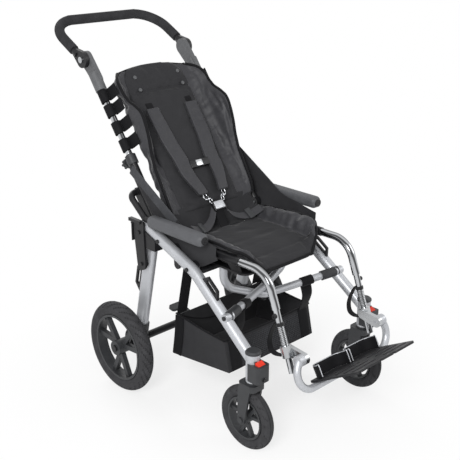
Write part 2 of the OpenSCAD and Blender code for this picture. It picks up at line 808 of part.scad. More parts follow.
// Casters
module caster_fork(s) color("dimgray") on_side(s) {
    translate([stem_x, stem_y, crown_z]) {
        cylinder(d = stem_d, h = crown_t + crown_collar_h + swivel_gap + stem_l);
        cylinder(d = crown_collar_d, h = crown_t + crown_collar_h);
        translate([0, (crown_rear - crown_front) / 2, 0])
            linear_extrude(crown_t) round_rect(fork_w, crown_front + crown_rear, fork_tip_r);
    }
    for (a = sides) side_plate(stem_x + a * (fork_inner_w + fork_wall) / 2 - fork_wall / 2, fork_wall)
        link2d([(stem_y + wheel_y) / 2, crown_z + crown_t - fork_root_r], fork_root_r, [wheel_y, caster_r], fork_tip_r);
    x_rod(stem_x - fork_w / 2, stem_x + fork_w / 2, wheel_y, caster_r, axle_bolt_d);
    for (a = sides)
        x_rod(stem_x + a * (fork_w + fork_bolt_head_t) / 2 - fork_bolt_head_t / 2,
            stem_x + a * (fork_w + fork_bolt_head_t) / 2 + fork_bolt_head_t / 2, wheel_y, caster_r, fork_bolt_head_d);
}
// Tyre and spoked rim about the x axis
module tyre(r, depth, w) rotate([0, right_angle, 0]) rotate_extrude() {
    intersection() {
        translate([r - w / 2, 0]) circle(d = w);
        translate([r - depth, -w]) square([depth, 2 * w]);
    }
    translate([r - depth, -w * band_w_share / 2]) square([depth - w / 2, w * band_w_share]);
}
module rim(bore_r, t, w, hub_r, hub_l, spoke_r, spoke_t, hole_d) rotate([0, right_angle, 0]) difference() {
    union() {
        rotate_extrude() translate([bore_r - seat_fit - t, -w / 2]) square([t, w]);
        cylinder(r = hub_r, h = hub_l, center = true);
        linear_extrude(spoke_t, center = true) for (k = [0 : spoke_pairs - 1], a = sides)
            rotate(k * 2 * half_turn / spoke_pairs) link2d([hub_r * spoke_root_share, 0], spoke_r,
                (bore_r - t / 2 - spoke_r) * [cos(a * spoke_spread), sin(a * spoke_spread)], spoke_r);
    }
    cylinder(d = hole_d + 2 * run_fit, h = hub_l + cut, center = true);
}
module caster_tyre(s) color("black") on_side(s)
    translate([stem_x, wheel_y, caster_r]) tyre(caster_r, caster_tyre_depth, caster_tyre_w);
module caster_rim(s) color("dimgray") on_side(s) translate([stem_x, wheel_y, caster_r])
    rim(caster_bore_r, caster_rim_t, caster_tyre_w * caster_rim_w_share, caster_hub_r, fork_inner_w - 2 * clear_gap,
        caster_spoke_r, caster_spoke_t, axle_bolt_d);

// Swivel lock: a housing round the front of the socket, with a push button in its top
lock_z0 = socket_z0 + lock_up;
button_z0 = lock_z0 + lock_h - button_sink;
button_y0 = stem_y - lock_front + button_front;
module lock_housings() color("dimgray") both() difference() {
    translate([stem_x, stem_y - (lock_front - lock_rear) / 2, lock_z0]) {
        linear_extrude(lock_h) round_rect(lock_w, lock_front + lock_rear, lock_corner_r);
        translate([-lock_w / 4, (lock_front - lock_rear) / 2 - socket_d / 2 - lock_back_t / 2, 0])
            cube([lock_w / 2, lock_back_t, lock_h + lock_back_h]);
    }
    translate([stem_x, stem_y, socket_z0]) cylinder(d = socket_d + 2 * seat_fit, h = socket_h);
    lower_run(seat_fit);
    translate([stem_x - button_w / 2 - clear_gap, button_y0 - clear_gap, button_z0 - button_sink])
        cube([button_w + 2 * clear_gap, button_l + 2 * clear_gap, button_sink + button_h + cut]);
}
module lock_button(s) color("red") on_side(s) side_plate(stem_x - button_w / 2, button_w) polygon([
    [button_y0, button_z0], [button_y0 + button_l, button_z0], [button_y0 + button_l, button_z0 + button_h],
    [button_y0, button_z0 + button_h * button_slope_share]]);

// Rear legs, axle and wheels
pivot_point = [leg_x, leg_pivot_y, leg_pivot_z];
axle_point = [leg_x, axle_y, axle_z];
leg_up = unit(pivot_point - axle_point);
module leg_bar(extra, from, to) multmatrix(axes_at(from, to - from))
    linear_extrude(norm(to - from)) stadium(leg_w + 2 * extra, leg_depth + 2 * extra);
module rear_leg(s) color("silver") on_side(s) difference() {
    leg_bar(0, axle_point + leg_up * leg_foot_up, pivot_point + leg_up * leg_head);
    x_rod(leg_x - leg_w, leg_x + leg_w, leg_pivot_y, leg_pivot_z, pivot_d + 2 * run_fit);
}
housing_x0 = leg_x - leg_w / 2 - housing_wall;
housing_x1 = leg_x + leg_w / 2 + housing_wall;
module axle_housings() color("dimgray") both() difference() {
    union() {
        x_rod(housing_x0, housing_x1, axle_y, axle_z, 2 * housing_r);
        leg_bar(housing_wall, axle_point, axle_point + leg_up * housing_up);
        x_rod(housing_x1 - cut, housing_x1 + brake_plate_t, axle_y, axle_z, 2 * brake_plate_r);
    }
    leg_bar(seat_fit, axle_point + leg_up * (leg_foot_up - seat_fit), axle_point + leg_up * (housing_up + cut));
    x_rod(0, wheel_x, axle_y, axle_z, axle_d + 2 * seat_fit);
}
module rear_axle() color("black") {
    hub_out = wheel_x + hub_w / 2 + clear_gap;
    x_rod(-hub_out - axle_nut_t, hub_out + axle_nut_t, axle_y, axle_z, axle_d);
    x_rod(-housing_x0 + seat_fit, housing_x0 - seat_fit, axle_y, axle_z, cross_tube_d);
    both() {
        x_rod(housing_x1 + brake_plate_t + seat_fit, wheel_x - hub_w / 2 - clear_gap, axle_y, axle_z, axle_collar_d);
        x_rod(hub_out, hub_out + axle_nut_t, axle_y, axle_z, axle_nut_d);
    }
}
module rear_tyre(s) color("black") on_side(s)
    translate([wheel_x, axle_y, axle_z]) tyre(axle_z, rear_tyre_depth, rear_tyre_w);
module rear_rim(s) color("dimgray") on_side(s) translate([wheel_x, axle_y, axle_z])
    rim(rear_bore_r, rear_rim_t, rear_tyre_w * rear_rim_w_share, rear_hub_r, hub_w, rear_spoke_r, rear_spoke_t, axle_d);
// Rear tie-down loops stand on the back of the legs
module rear_tie_downs() color("black") both() difference() {
    multmatrix(columns(-leg_up, cross([1, 0, 0], -leg_up), [1, 0, 0], pivot_point - [tie_t / 2, 0, 0]))
        linear_extrude(tie_t) difference() {
            polygon([
                [rear_tie_from, 0], [rear_tie_from, leg_depth / 2 + rear_tie_h],
                [rear_tie_from + rear_tie_slope_share * rear_tie_l, leg_depth / 2 + rear_tie_h],
                [rear_tie_from + rear_tie_l, leg_depth / 2], [rear_tie_from + rear_tie_l, 0]]);
            link2d([rear_tie_from + tie_rim + tie_slot_w / 2, leg_depth / 2 + rear_tie_h - tie_rim - tie_slot_w / 2],
                tie_slot_w / 2, [rear_tie_from + rear_tie_slope_share * rear_tie_l - tie_rim,
                leg_depth / 2 + rear_tie_h - tie_rim - tie_slot_w / 2], tie_slot_w / 2);
        }
    leg_bar(seat_fit, axle_point, pivot_point);
}
// Foot pedal on the cross tube that works the brakes
module brake_pedal() color("dimgray") difference() {
    union() {
        x_rod(-pedal_w / 2, pedal_w / 2, axle_y, axle_z, cross_tube_d + 2 * pedal_ring_wall);
        translate([0, axle_y, axle_z]) rotate([pedal_angle, 0, 0]) {
            translate([-pedal_w / 4, 0, -pedal_t / 2]) cube([pedal_w / 2, pedal_l, pedal_t]);
            translate([0, pedal_l, -pedal_t / 2])
                linear_extrude(pedal_t) round_rect(pedal_w, pedal_pad_l, pedal_t);
        }
    }
    x_rod(-pedal_w, pedal_w, axle_y, axle_z, cross_tube_d + 2 * run_fit);
}

// Back posts with knuckles on the pivot pins, and masts that slide in them
module back_posts() color("dimgray") both() difference() {
    union() {
        rod(on_back(post_x, 0, 0), on_back(post_x, post_l, 0), post_d);
        x_rod(post_x - knuckle_w / 2, post_x + knuckle_w / 2, back_y, back_z, knuckle_d);
    }
    x_rod(post_x - knuckle_w, post_x + knuckle_w, back_y, back_z, pivot_d + 2 * run_fit);
    rod(on_back(post_x, post_l - mast_in - bore_wall, 0), on_back(post_x, post_l + cut, 0), mast_d + 2 * run_fit);
}
clamp_s = post_l - clamp_l - clamp_drop;
knob_s = clamp_s + clamp_l / 2;
module post_clamps() color("dimgray") both() difference() {
    union() {
        rod(on_back(post_x, clamp_s, 0), on_back(post_x, clamp_s + clamp_l, 0), clamp_d);
        rod(on_back(post_x, knob_s, 0), on_back(post_x, knob_s, -boss_reach), boss_d);
    }
    rod(on_back(post_x, clamp_s - cut, 0), on_back(post_x, clamp_s + clamp_l + cut, 0), post_d + 2 * seat_fit);
    rod(on_back(post_x, knob_s, 0), on_back(post_x, knob_s, -boss_reach - cut), knob_pin_d + 2 * run_fit);
}
module clamp_knob(s) color("gray") on_side(s) {
    multmatrix(axes_at(on_back(post_x, knob_s, -boss_reach - clear_gap), on_back(0, 0, -1) - on_back(0, 0, 0)))
        linear_extrude(knob_h) {
            circle(d = knob_d * (1 - knob_lobe_share));
            for (k = [0 : knob_lobes - 1]) rotate(k * 2 * half_turn / knob_lobes)
                translate([knob_d * (1 - knob_lobe_share) / 2, 0]) circle(d = knob_d * knob_lobe_share);
        }
    rod(on_back(post_x, knob_s, -post_d / 2 - clear_gap), on_back(post_x, knob_s, -boss_reach - cut), knob_pin_d);
}
module mast_tubes() color("lightgray") both()
    rod(on_back(post_x, post_l - mast_in, 0), on_back(post_x, mast_top, 0), mast_d);
joint = [joint_y, joint_z];
module mast_sleeves() color("dimgray") both() {
    top = on_back(post_x, sleeve_from + sleeve_l - arm_r - arm_drop, 0);
    difference() {
        union() {
            rod(on_back(post_x, sleeve_from, 0), on_back(post_x, sleeve_from + sleeve_l, 0), sleeve_d);
            side_plate(lower_disc_x, disc_t) link2d([top.y, top.z], arm_r, joint, disc_r);
        }
        rod(on_back(post_x, sleeve_from - cut, 0), on_back(post_x, mast_top + seat_fit, 0), mast_d + 2 * seat_fit);
    }
    x_rod(lower_disc_x + disc_t / 2, lower_disc_x + disc_t + clear_gap + disc_t / 3, joint_y, joint_z, joint_pin_d);
}
// Push bar: joint discs, tube and foam grip
handle_way = [0, cos(handle_angle), sin(handle_angle)];
function on_handle(x, t) = [x, joint_y, joint_z] + t * handle_way;
function handle_path(from) = [
    on_handle(handle_x, from), on_handle(handle_x, handle_l), on_handle(-handle_x, handle_l), on_handle(-handle_x, from)];
handle_disc_x = handle_x - disc_t / 2;
module push_bar() color("black") {
    pipe(handle_path(disc_r + cut), handle_bend_r, handle_tube_d);
    both() difference() {
        side_plate(handle_disc_x, disc_t)
            link2d(joint, disc_r, [on_handle(0, grip_from).y, on_handle(0, grip_from).z], disc_neck_r);
        x_rod(0, handle_disc_x + disc_t / 3 + cut, joint_y, joint_z, joint_pin_d + 2 * run_fit);
        x_rod(handle_x, handle_x + disc_t, joint_y, joint_z, cap_button_d + 2 * run_fit);
    }
}
module foam_grip() color("black") difference() {
    pipe(handle_path(grip_from), handle_bend_r, grip_d);
    pipe(handle_path(disc_r), handle_bend_r, handle_tube_d + 2 * seat_fit);
    both() side_plate(handle_disc_x - seat_fit, disc_t + 2 * seat_fit)
        link2d(joint, disc_r, [on_handle(0, grip_from).y, on_handle(0, grip_from).z], disc_neck_r + seat_fit);
}
module joint_button(s) color("silver") on_side(s)
    x_rod(handle_disc_x + disc_t + cap_button_out - cap_button_l / 2 - cap_button_out / 2,
        handle_disc_x + disc_t + cap_button_out, joint_y, joint_z, cap_button_d);

// Armrests on brackets that rise behind the back posts
arm_foot = on_back(0, arm_bracket_foot_s, -arm_bracket_off);
module armrest_brackets() color("dimgray") both() difference() {
    union() {
        side_plate(arm_bracket_x0, arm_bracket_x1 - arm_bracket_x0)
            link2d([arm_foot.y, arm_foot.z], arm_bracket_foot_r, [arm_pivot_y, arm_pivot_z], arm_bracket_r);
        x_rod(arm_bracket_x0, frame_x - tube_r - seat_fit, arm_foot.y, arm_foot.z, arm_bracket_boss_d);
    }
    x_rod(0, arm_x, arm_pivot_y, arm_pivot_z, arm_pin_d + 2 * run_fit);
}
arm_in_x = arm_bracket_x1 + clear_gap;
arm_pad_rear_y = arm_pad_front_y + arm_pad_l;
module armrest_tube(s) color("black") on_side(s) {
    pipe([
        [arm_in_x, arm_pivot_y, arm_pivot_z], [arm_x, arm_pivot_y, arm_pivot_z],
        [arm_x, arm_pad_rear_y + arm_bend_r, arm_pad_z], [arm_x, arm_pad_rear_y - arm_tube_end_in, arm_pad_z]],
        arm_bend_r, arm_tube_d);
    x_rod(arm_bracket_x0, arm_in_x, arm_pivot_y, arm_pivot_z, arm_pin_d);
}
module armrest_pad(s) color("gray") on_side(s) difference() {
    union() {
        translate([arm_x, 0, arm_pad_z]) front_plate(arm_pad_rear_y, arm_pad_l - arm_nose_l)
            round_rect(arm_pad_w, arm_pad_h, arm_pad_w * arm_corner_share);
        translate([arm_x, 0, arm_pad_z]) front_plate(arm_pad_front_y + arm_nose_l, arm_nose_l)
            round_rect(arm_pad_w * arm_nose_share, arm_pad_h * arm_nose_share, arm_pad_w * arm_corner_share);
    }
    rod([arm_x, arm_pad_rear_y + cut, arm_pad_z], [arm_x, arm_pad_rear_y - arm_tube_end_in - seat_fit, arm_pad_z],
        arm_tube_d + 2 * seat_fit);
}

// Footrest: hangers, extensions that slide in them, elbow clamps and the bent bar with its plate
hanger_way = [0, -cos(hanger_angle), -sin(hanger_angle)];
hanger_end = [hanger_x, hanger_bend_y, hanger_z] + hanger_l * hanger_way;
module footrest_hangers() color("lightgray") both() difference() {
    pipe([[hanger_x, hanger_back_y - seat_fit, hanger_z], [hanger_x, hanger_bend_y, hanger_z], hanger_end],
        hanger_bend_r, hanger_d);
    rod(hanger_end - extension_seat_l * hanger_way, hanger_end + cut * hanger_way, extension_d + 2 * run_fit);
}
module extension_tubes() color("lightgray") both()
    rod(hanger_end - extension_in * hanger_way, hanger_end + (extension_l - extension_in) * hanger_way, extension_d);
clamp_point = hanger_end + clamp_at * hanger_way;
eye = clamp_point - [0, elbow_reach_y, elbow_drop];
module elbow_clamps() color("silver") both() difference() {
    union() {
        rod(clamp_point - elbow_ring_l / 2 * hanger_way, clamp_point + elbow_ring_l / 2 * hanger_way, elbow_ring_d);
        side_plate(elbow_disc_x, elbow_disc_w)
            link2d([clamp_point.y, clamp_point.z], elbow_disc_w, [eye.y, eye.z], elbow_disc_r);
    }
    rod(clamp_point - elbow_ring_l * hanger_way, clamp_point + elbow_ring_l * hanger_way, extension_d + 2 * seat_fit);
    x_rod(0, hanger_x + elbow_ring_d, eye.y, eye.z, elbow_pin_d + 2 * run_fit);
}
// The bar lies in a plane that leans forward below the eyes
bar_up = [0, sin(bar_lean), cos(bar_lean)];
bar_drop = bar_arc_r * sin(bar_arc_turn - right_angle) + bar_arc_r;
bar_middle = [0, eye.y, eye.z] - bar_drop * bar_up;
module footrest_bar() color("silver") {
    both() {
        multmatrix(columns([1, 0, 0], bar_up, cross([1, 0, 0], bar_up), bar_middle + [bar_arc_x, 0, 0] + bar_arc_r * bar_up))
            rotate(-right_angle) rotate_extrude(angle = bar_arc_turn) translate([bar_arc_r, 0]) circle(d = bar_d + 2 * bend_step);
        x_rod(elbow_disc_x + elbow_disc_w + clear_gap, hanger_x + elbow_disc_w, eye.y, eye.z, 2 * elbow_disc_r);
        x_rod(elbow_disc_x, elbow_disc_x + 2 * elbow_disc_w, eye.y, eye.z, elbow_pin_d);
    }
    rod(bar_middle - [bar_arc_x + bend_lap, 0, 0], bar_middle + [bar_arc_x + bend_lap, 0, 0], bar_d);
}
// Footplate frame: x across, y towards the toes, z down through the plate
plate_toe = [0, -cos(plate_angle), sin(plate_angle)];
plate_down = cross([1, 0, 0], plate_toe);
plate_origin = bar_middle - plate_seat_y * plate_toe - (plate_t + clear_gap + bar_d / 2) * plate_down;
module on_plate() multmatrix(columns([1, 0, 0], plate_toe, plate_down, plate_origin)) children();
module footplate() color("black") difference() {
    on_plate() {
        linear_extrude(plate_t) difference() {
            hull() for (x = sides) {
                translate([x * (plate_w / 2 - plate_corner_r), plate_corner_r]) circle(r = plate_corner_r);
                translate([x * (plate_w / 2 - plate_taper - plate_corner_r), plate_l - plate_corner_r])
                    circle(r = plate_corner_r);
            }
            for (x = sides) translate([x * plate_notch_x, plate_l]) circle(d = plate_notch_d);
        }
        for (x = sides, k = [0 : plate_rib_count - 1])
            translate([x * plate_w / 4 - plate_rib_l_share * plate_w / 2, plate_rib_y + 2 * plate_rib_pitch * k, -plate_rib_h])
                cube([plate_rib_l_share * plate_w, plate_rib_w, 2 * plate_rib_h]);
        for (x = sides) translate([x * saddle_x - saddle_w / 2, plate_seat_y - bar_d * saddle_share, plate_t - plate_rib_h])
            cube([saddle_w, 2 * bar_d * saddle_share, bar_d / 2 + plate_rib_h]);
    }
    rod(bar_middle - [bar_arc_x, 0, 0], bar_middle + [bar_arc_x, 0, 0], bar_d + 2 * seat_fit);
}
module heel_loops() color("black") on_plate() for (x = sides)
    translate([x * (heel_w + heel_gap) / 2, heel_return + heel_t, -heel_h]) linear_extrude(heel_h) difference() {
        round_rect(heel_w, 2 * heel_return, heel_corner_r);
        round_rect(heel_w - 2 * heel_t, 2 * (heel_return - heel_t), heel_corner_r - heel_t);
        translate([-heel_w, 0]) square([2 * heel_w, 2 * heel_return]);
    }
module calf_straps() color("black") both() ribbon(
    [for (p = calf_shares) hanger_end + (calf_from + calf_drop * p.x) * hanger_way
        + calf_sag * p.y * cross([1, 0, 0], hanger_way)], [strap_w, 0, 0], strap_t * cross([1, 0, 0], hanger_way));

// Seat pad: a dished slab with raised side bolsters and a front lip that rolls down
function mirrored(shares, odd) = concat(
    [for (i = [len(shares) - 1 : -1 : 1]) odd ? -shares[i] : shares[i]], shares);
seat_xs = mirrored(seat_x_shares, true) * seat_w / 2;
seat_tops = mirrored(seat_top_shares, false) * bolster_h;
seat_bottoms = mirrored(seat_bottom_shares, false) * bolster_h;
function seat_row(row, heights, base, rise, drop) = [for (i = [0 : len(seat_xs) - 1]) [
    seat_xs[i] * row[1], between(seat_front_y, seat_rear_y, row[0]),
    base + heights[i] * rise - drop]];
module seat_pad() color("dimgray") slab(
    [for (row = seat_rows) seat_row(row, seat_tops, seat_top_z, row[2], seat_lip_drop * row[4])],
    [for (row = seat_rows) seat_row(row, seat_bottoms, seat_top_z - seat_t, row[3], 0)]);

// Back pad: a panel whose sides come forward as wings
back_xs = mirrored(back_x_shares, true) * back_pad_w / 2;
back_os = mirrored(back_o_shares, false);
back_ts = mirrored(back_t_shares, false);
back_ws = mirrored(back_w_shares, true);
function back_row(row, inner) = [for (i = [0 : len(back_xs) - 1]) on_back(
    back_xs[i] * row[2] - inner * wing_t * back_ws[i],
    back_pad_from + row[0] * back_pad_l - back_arch * row[3] * pow(2 * back_xs[i] / back_pad_w, 2),
    back_pad_off + back_os[i] * row[1] * wing_depth + inner * back_pad_t * back_ts[i])];
module back_pad() color("dimgray") slab(
    [for (row = back_rows) back_row(row, 1)], [for (row = back_rows) back_row(row, 0)]);
// Fabric loops that hold the back pad to the masts
module back_loops() color("black") both() for (s = loop_ss) difference() {
    union() {
        rod(on_back(post_x, s - loop_l / 2, 0), on_back(post_x, s + loop_l / 2, 0), loop_d);
        multmatrix(axes_at(on_back(back_pad_w / 2 + clear_gap, s - loop_l / 2, 0), on_back(0, 1, 0) - on_back(0, 0, 0)))
            linear_extrude(loop_l) translate([0, -loop_tab_l]) square([loop_tab_t, loop_tab_l]);
    }
    rod(on_back(post_x, s - loop_l, 0), on_back(post_x, s + loop_l, 0), mast_d + 2 * clear_gap);
}
// Side panels of cloth between the seat and the posts
module side_panels() color("dimgray") both() side_plate(post_x + post_d / 2 + clear_gap, panel_t) polygon(
    [for (p = panel_corners) [on_back(0, p.x, p.y).y, on_back(0, p.x, p.y).z]]);
// Harness
module shoulder_straps() color("dimgray") both() ribbon(
    [for (p = shoulder_rows) on_back(p[0] * back_pad_w, p[1], p[2])], [shoulder_w, 0, 0],
    shoulder_t * (on_back(0, 0, 1) - on_back(0, 0, 0)));
module chest_clip() color("silver") multmatrix(
    axes_at(on_back(0, clip_s, clip_o), on_back(0, 0, 1) - on_back(0, 0, 0)))
    linear_extrude(clip_t) round_rect(clip_w, clip_l, clip_t);
module seat_straps() color("dimgray") {
    ribbon(crotch_points, [strap_wide, 0, 0], [0, -strap_thick, 0]);
    both() ribbon(lap_points, [0, strap_wide * sin(lap_tilt), strap_wide * cos(lap_tilt)],
        strap_thick * [0, -cos(lap_tilt), sin(lap_tilt)]);
}
module buckle() color("silver") translate(buckle_place) rotate([buckle_tilt, 0, 0])
    linear_extrude(buckle_t) round_rect(buckle_w, buckle_l, buckle_t / 2);

// Basket: an open box of cloth hung on four straps
basket_outer = [[basket_rear_low_y, basket_rear_low_z], [basket_front_low_y, basket_front_low_z],
    [basket_front_top_y, basket_front_top_z], [basket_rear_top_y, basket_rear_top_z]];
module basket() color("black") {
    difference() {
        side_plate(-basket_w / 2, basket_w) polygon(basket_outer);
        side_plate(-basket_w / 2 + basket_t, basket_w - 2 * basket_t) polygon([
            basket_outer[0] + [-basket_t, basket_t], basket_outer[1] + [basket_t, basket_t],
            basket_outer[2] + [basket_t, cut], basket_outer[3] + [-basket_t, cut]]);
    }
    both() for (p = basket_straps)
        ribbon([[basket_w * basket_strap_share, p[0], p[1]], [basket_w * basket_strap_share, p[2], p[3]]],
            [strap_w, 0, 0], [0, -strap_t, 0]);
}

// Middle of the part along the buggy: half-way between the footplate's toe and the grip
handle_rear_y = joint_y + handle_l * cos(handle_angle) + grip_d / 2;
toe_y = plate_origin.y - plate_l * cos(plate_angle) - plate_t * sin(plate_angle);
mid_y = (handle_rear_y + toe_y) / 2;
// The whole part, moved so that its origin lies under its middle
module place() translate([0, -mid_y, 0]) children();

place() side_frame(sides[0]);  // side_frame_right
place() side_frame(sides[1]);  // side_frame_left
place() caster_fork(sides[0]);  // caster_fork_right
place() caster_fork(sides[1]);  // caster_fork_left
place() caster_tyre(sides[0]);  // caster_tyre_right
place() caster_tyre(sides[1]);  // caster_tyre_left
place() caster_rim(sides[0]);  // caster_rim_right
place() caster_rim(sides[1]);  // caster_rim_left
place() lock_button(sides[0]);  // lock_button_right
place() lock_button(sides[1]);  // lock_button_left
place() fold_lever(sides[0]);  // fold_lever_right
place() fold_lever(sides[1]);  // fold_lever_left
place() rear_leg(sides[0]);  // rear_leg_right
place() rear_leg(sides[1]);  // rear_leg_left
place() rear_tyre(sides[0]);  // rear_tyre_right
place() rear_tyre(sides[1]);  // rear_tyre_left
place() rear_rim(sides[0]);  // rear_rim_right
place() rear_rim(sides[1]);  // rear_rim_left
place() clamp_knob(sides[0]);  // clamp_knob_right
place() clamp_knob(sides[1]);  // clamp_knob_left
place() joint_button(sides[0]);  // joint_button_right
place() joint_button(sides[1]);  // joint_button_left
place() armrest_tube(sides[0]);  // armrest_tube_right
place() armrest_tube(sides[1]);  // armrest_tube_left
place() armrest_pad(sides[0]);  // armrest_pad_right
place() armrest_pad(sides[1]);  // armrest_pad_left
place() plastic_caps();
place() lock_housings();
place() cross_braces();
place() frame_bolts();
place() front_tie_downs();
place() fold_brackets();
place() armrest_brackets();
place() seat_base();
place() footrest_hangers();
place() seat_pad();
place() seat_straps();
place() buckle();
place() basket();
place() rear_axle();
place() rear_tie_downs();
place() axle_housings();
place() brake_pedal();
place() back_posts();
place() post_clamps();
place() back_pad();
place() back_loops();
place() side_panels();
place() shoulder_straps();
place() chest_clip();
place() mast_tubes();
place() mast_sleeves();
place() push_bar();
place() foam_grip();
place() extension_tubes();
place() elbow_clamps();
place() calf_straps();
place() footrest_bar();
place() footplate();
place() heel_loops();
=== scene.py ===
import json
import math

import bpy
import numpy as np
from mathutils import Matrix, Vector, noise


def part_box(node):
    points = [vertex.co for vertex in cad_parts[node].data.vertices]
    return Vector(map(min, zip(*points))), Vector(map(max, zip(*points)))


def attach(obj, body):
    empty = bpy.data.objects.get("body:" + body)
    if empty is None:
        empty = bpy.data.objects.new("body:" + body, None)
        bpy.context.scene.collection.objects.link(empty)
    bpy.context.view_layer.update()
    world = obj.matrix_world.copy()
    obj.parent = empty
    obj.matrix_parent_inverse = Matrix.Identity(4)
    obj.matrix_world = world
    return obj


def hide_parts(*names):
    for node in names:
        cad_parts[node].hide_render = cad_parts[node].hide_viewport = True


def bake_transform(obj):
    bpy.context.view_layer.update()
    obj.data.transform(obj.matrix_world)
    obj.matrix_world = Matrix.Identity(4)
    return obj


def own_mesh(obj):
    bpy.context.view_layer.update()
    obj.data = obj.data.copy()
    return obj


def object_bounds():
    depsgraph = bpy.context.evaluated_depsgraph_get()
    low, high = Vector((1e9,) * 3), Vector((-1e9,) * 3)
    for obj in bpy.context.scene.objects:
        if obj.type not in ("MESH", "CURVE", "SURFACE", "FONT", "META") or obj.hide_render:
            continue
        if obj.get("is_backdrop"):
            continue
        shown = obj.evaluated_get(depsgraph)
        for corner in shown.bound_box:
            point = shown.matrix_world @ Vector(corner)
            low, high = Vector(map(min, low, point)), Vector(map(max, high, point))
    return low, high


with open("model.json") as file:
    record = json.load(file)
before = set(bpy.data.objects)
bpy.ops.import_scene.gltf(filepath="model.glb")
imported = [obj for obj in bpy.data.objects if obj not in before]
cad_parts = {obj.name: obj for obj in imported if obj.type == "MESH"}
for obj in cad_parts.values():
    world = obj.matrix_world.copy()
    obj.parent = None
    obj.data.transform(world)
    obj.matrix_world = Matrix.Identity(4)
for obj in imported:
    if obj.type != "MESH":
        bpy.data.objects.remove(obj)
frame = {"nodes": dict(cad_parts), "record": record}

bl_info = {
    "name": "Special needs buggy",
    "version": (1, 0, 0),
    "blender": (4, 5, 0),
    "location": "3D View > Sidebar > Buggy",
    "description": "Dresses the packed buggy with its cloth, rubber, finishes and studio",
    "category": "Object",
}

CAD_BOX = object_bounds()
NODES = frame["nodes"]
MM = 0.001
SIDES = {"right": -1, "left": 1}

# The drawing's places, in its own millimetres
DRAWING_Y = 63.17468788900601
BACK_FOOT = (142.0, 553.84)
BACK_LEAN = math.radians(54.3)
HANDLE_JOINT = (503.0, 1038.0)
HANDLE_LEAN = math.radians(28.6)
PLATE_ORIGIN = (-410.84, 226.99)
PLATE_LEAN = math.radians(30)
HANGER_END = (-315.2, 433.0)
HANGER_WAY = (-0.353, -0.935)


def spot(x, y, z):
    """A point of the drawing in the frame's metres."""
    return Vector((x, y - DRAWING_Y, z)) * MM


def on_back(x, s, o):
    """A point s up the back posts and o forward of them."""
    return spot(
        x,
        BACK_FOOT[0] + s * math.cos(BACK_LEAN) - o * math.sin(BACK_LEAN),
        BACK_FOOT[1] + s * math.sin(BACK_LEAN) + o * math.cos(BACK_LEAN),
    )


def back_place(point):
    """The reverse of on_back: x, s and o of a point in the frame."""
    x, y, z = point / MM
    y += DRAWING_Y - BACK_FOOT[0]
    z -= BACK_FOOT[1]
    along = y * math.cos(BACK_LEAN) + z * math.sin(BACK_LEAN)
    forward = -y * math.sin(BACK_LEAN) + z * math.cos(BACK_LEAN)
    return x, along, forward


def on_handle(x, t):
    """A point t along the push handle from its joint."""
    return spot(x, HANDLE_JOINT[0] + t * math.cos(HANDLE_LEAN), HANDLE_JOINT[1] + t * math.sin(HANDLE_LEAN))


def on_plate(x, y, z):
    """A point on the footplate: across, towards the toes and up from its top."""
    return spot(
        x,
        PLATE_ORIGIN[0] - y * math.cos(PLATE_LEAN) + z * math.sin(PLATE_LEAN),
        PLATE_ORIGIN[1] + y * math.sin(PLATE_LEAN) + z * math.cos(PLATE_LEAN),
    )


def on_hanger(x, t, o):
    """A point t down the footrest extension and o behind it."""
    return spot(
        x,
        HANGER_END[0] + t * HANGER_WAY[0] - o * HANGER_WAY[1],
        HANGER_END[1] + t * HANGER_WAY[1] + o * HANGER_WAY[0],
    )


BACK_UP = (on_back(0, 1, 0) - on_back(0, 0, 0)).normalized()
BACK_FORWARD = (on_back(0, 0, 1) - on_back(0, 0, 0)).normalized()
PLATE_UP = (on_plate(0, 0, 1) - on_plate(0, 0, 0)).normalized()
X_WAY = Vector((1, 0, 0))


def linear(code):
    """An sRGB hex colour as linear red, green, blue."""
    parts = [int(code[i : i + 2], 16) / 255 for i in (1, 3, 5)]
    return tuple(p / 12.92 if p <= 0.04045 else ((p + 0.055) / 1.055) ** 2.4 for p in parts)


def rgba(colour):
    return (*colour, 1.0)


# Sizes and colours that a user would change


def colour_property(name, description, code):
    return bpy.props.FloatVectorProperty(
        name=name, description=description, default=linear(code), subtype="COLOR", min=0, max=1
    )


def length_property(name, description, millimetres):
    return bpy.props.FloatProperty(
        name=name, description=description, default=millimetres * MM, unit="LENGTH"
    )


class BuggyColours(bpy.types.PropertyGroup):
    """Colours of the buggy's finishes"""

    frame_silver: colour_property("Frame", "Painted aluminium of the side frames and legs", "#b4b6ba")
    chrome: colour_property("Chrome", "Plated footrest hangers", "#d6d8db")
    steel: colour_property("Bright steel", "Zinc plated bolts, masts and buttons", "#b9bbbd")
    plastic: colour_property("Plastic", "Moulded nylon of the housings, forks and rims", "#333436")
    sleeve: colour_property("Sleeves", "Satin nylon of the mast sleeves and snaps", "#5a5b5d")
    black_metal: colour_property("Black metal", "Powder coated steel of the handle and brackets", "#1b1b1d")
    rubber: colour_property("Rubber", "Tyres", "#363638")
    button: colour_property("Buttons", "Swivel lock buttons", "#e03a26")
    foam: colour_property("Foam", "Push handle grip", "#333335")
    arm: colour_property("Arm pads", "Moulded polyurethane", "#525356")
    footplate: colour_property("Footplate", "Moulded polypropylene", "#1c1c1e")
    cloth: colour_property("Cloth", "Woven polyester of the seat and back", "#2f2f31")
    # A lighter copy of the cloth's colour: painted light on the wings, bolsters, pads and lap belts
    painted_lit_cloth: colour_property("Painted lit cloth", "Lighter copy of the cloth, painted light, for the wings and straps", "#37373a")
    webbing: colour_property("Webbing", "Nylon straps", "#141416")
    tape: colour_property("Tape", "Edge binding of the side skirts", "#434447")


class BuggySizes(bpy.types.PropertyGroup):
    """Sizes of the buggy's soft pieces"""

    voxel: length_property("Cloth cell", "Cell size of the padded cloth", 5.0)
    swell: length_property("Swell", "Most that the padding swells", 7.0)
    webbing: length_property("Webbing", "Thickness of the webbing", 2.2)
    binding: length_property("Binding", "Radius of the edge binding", 5.0)


# Materials

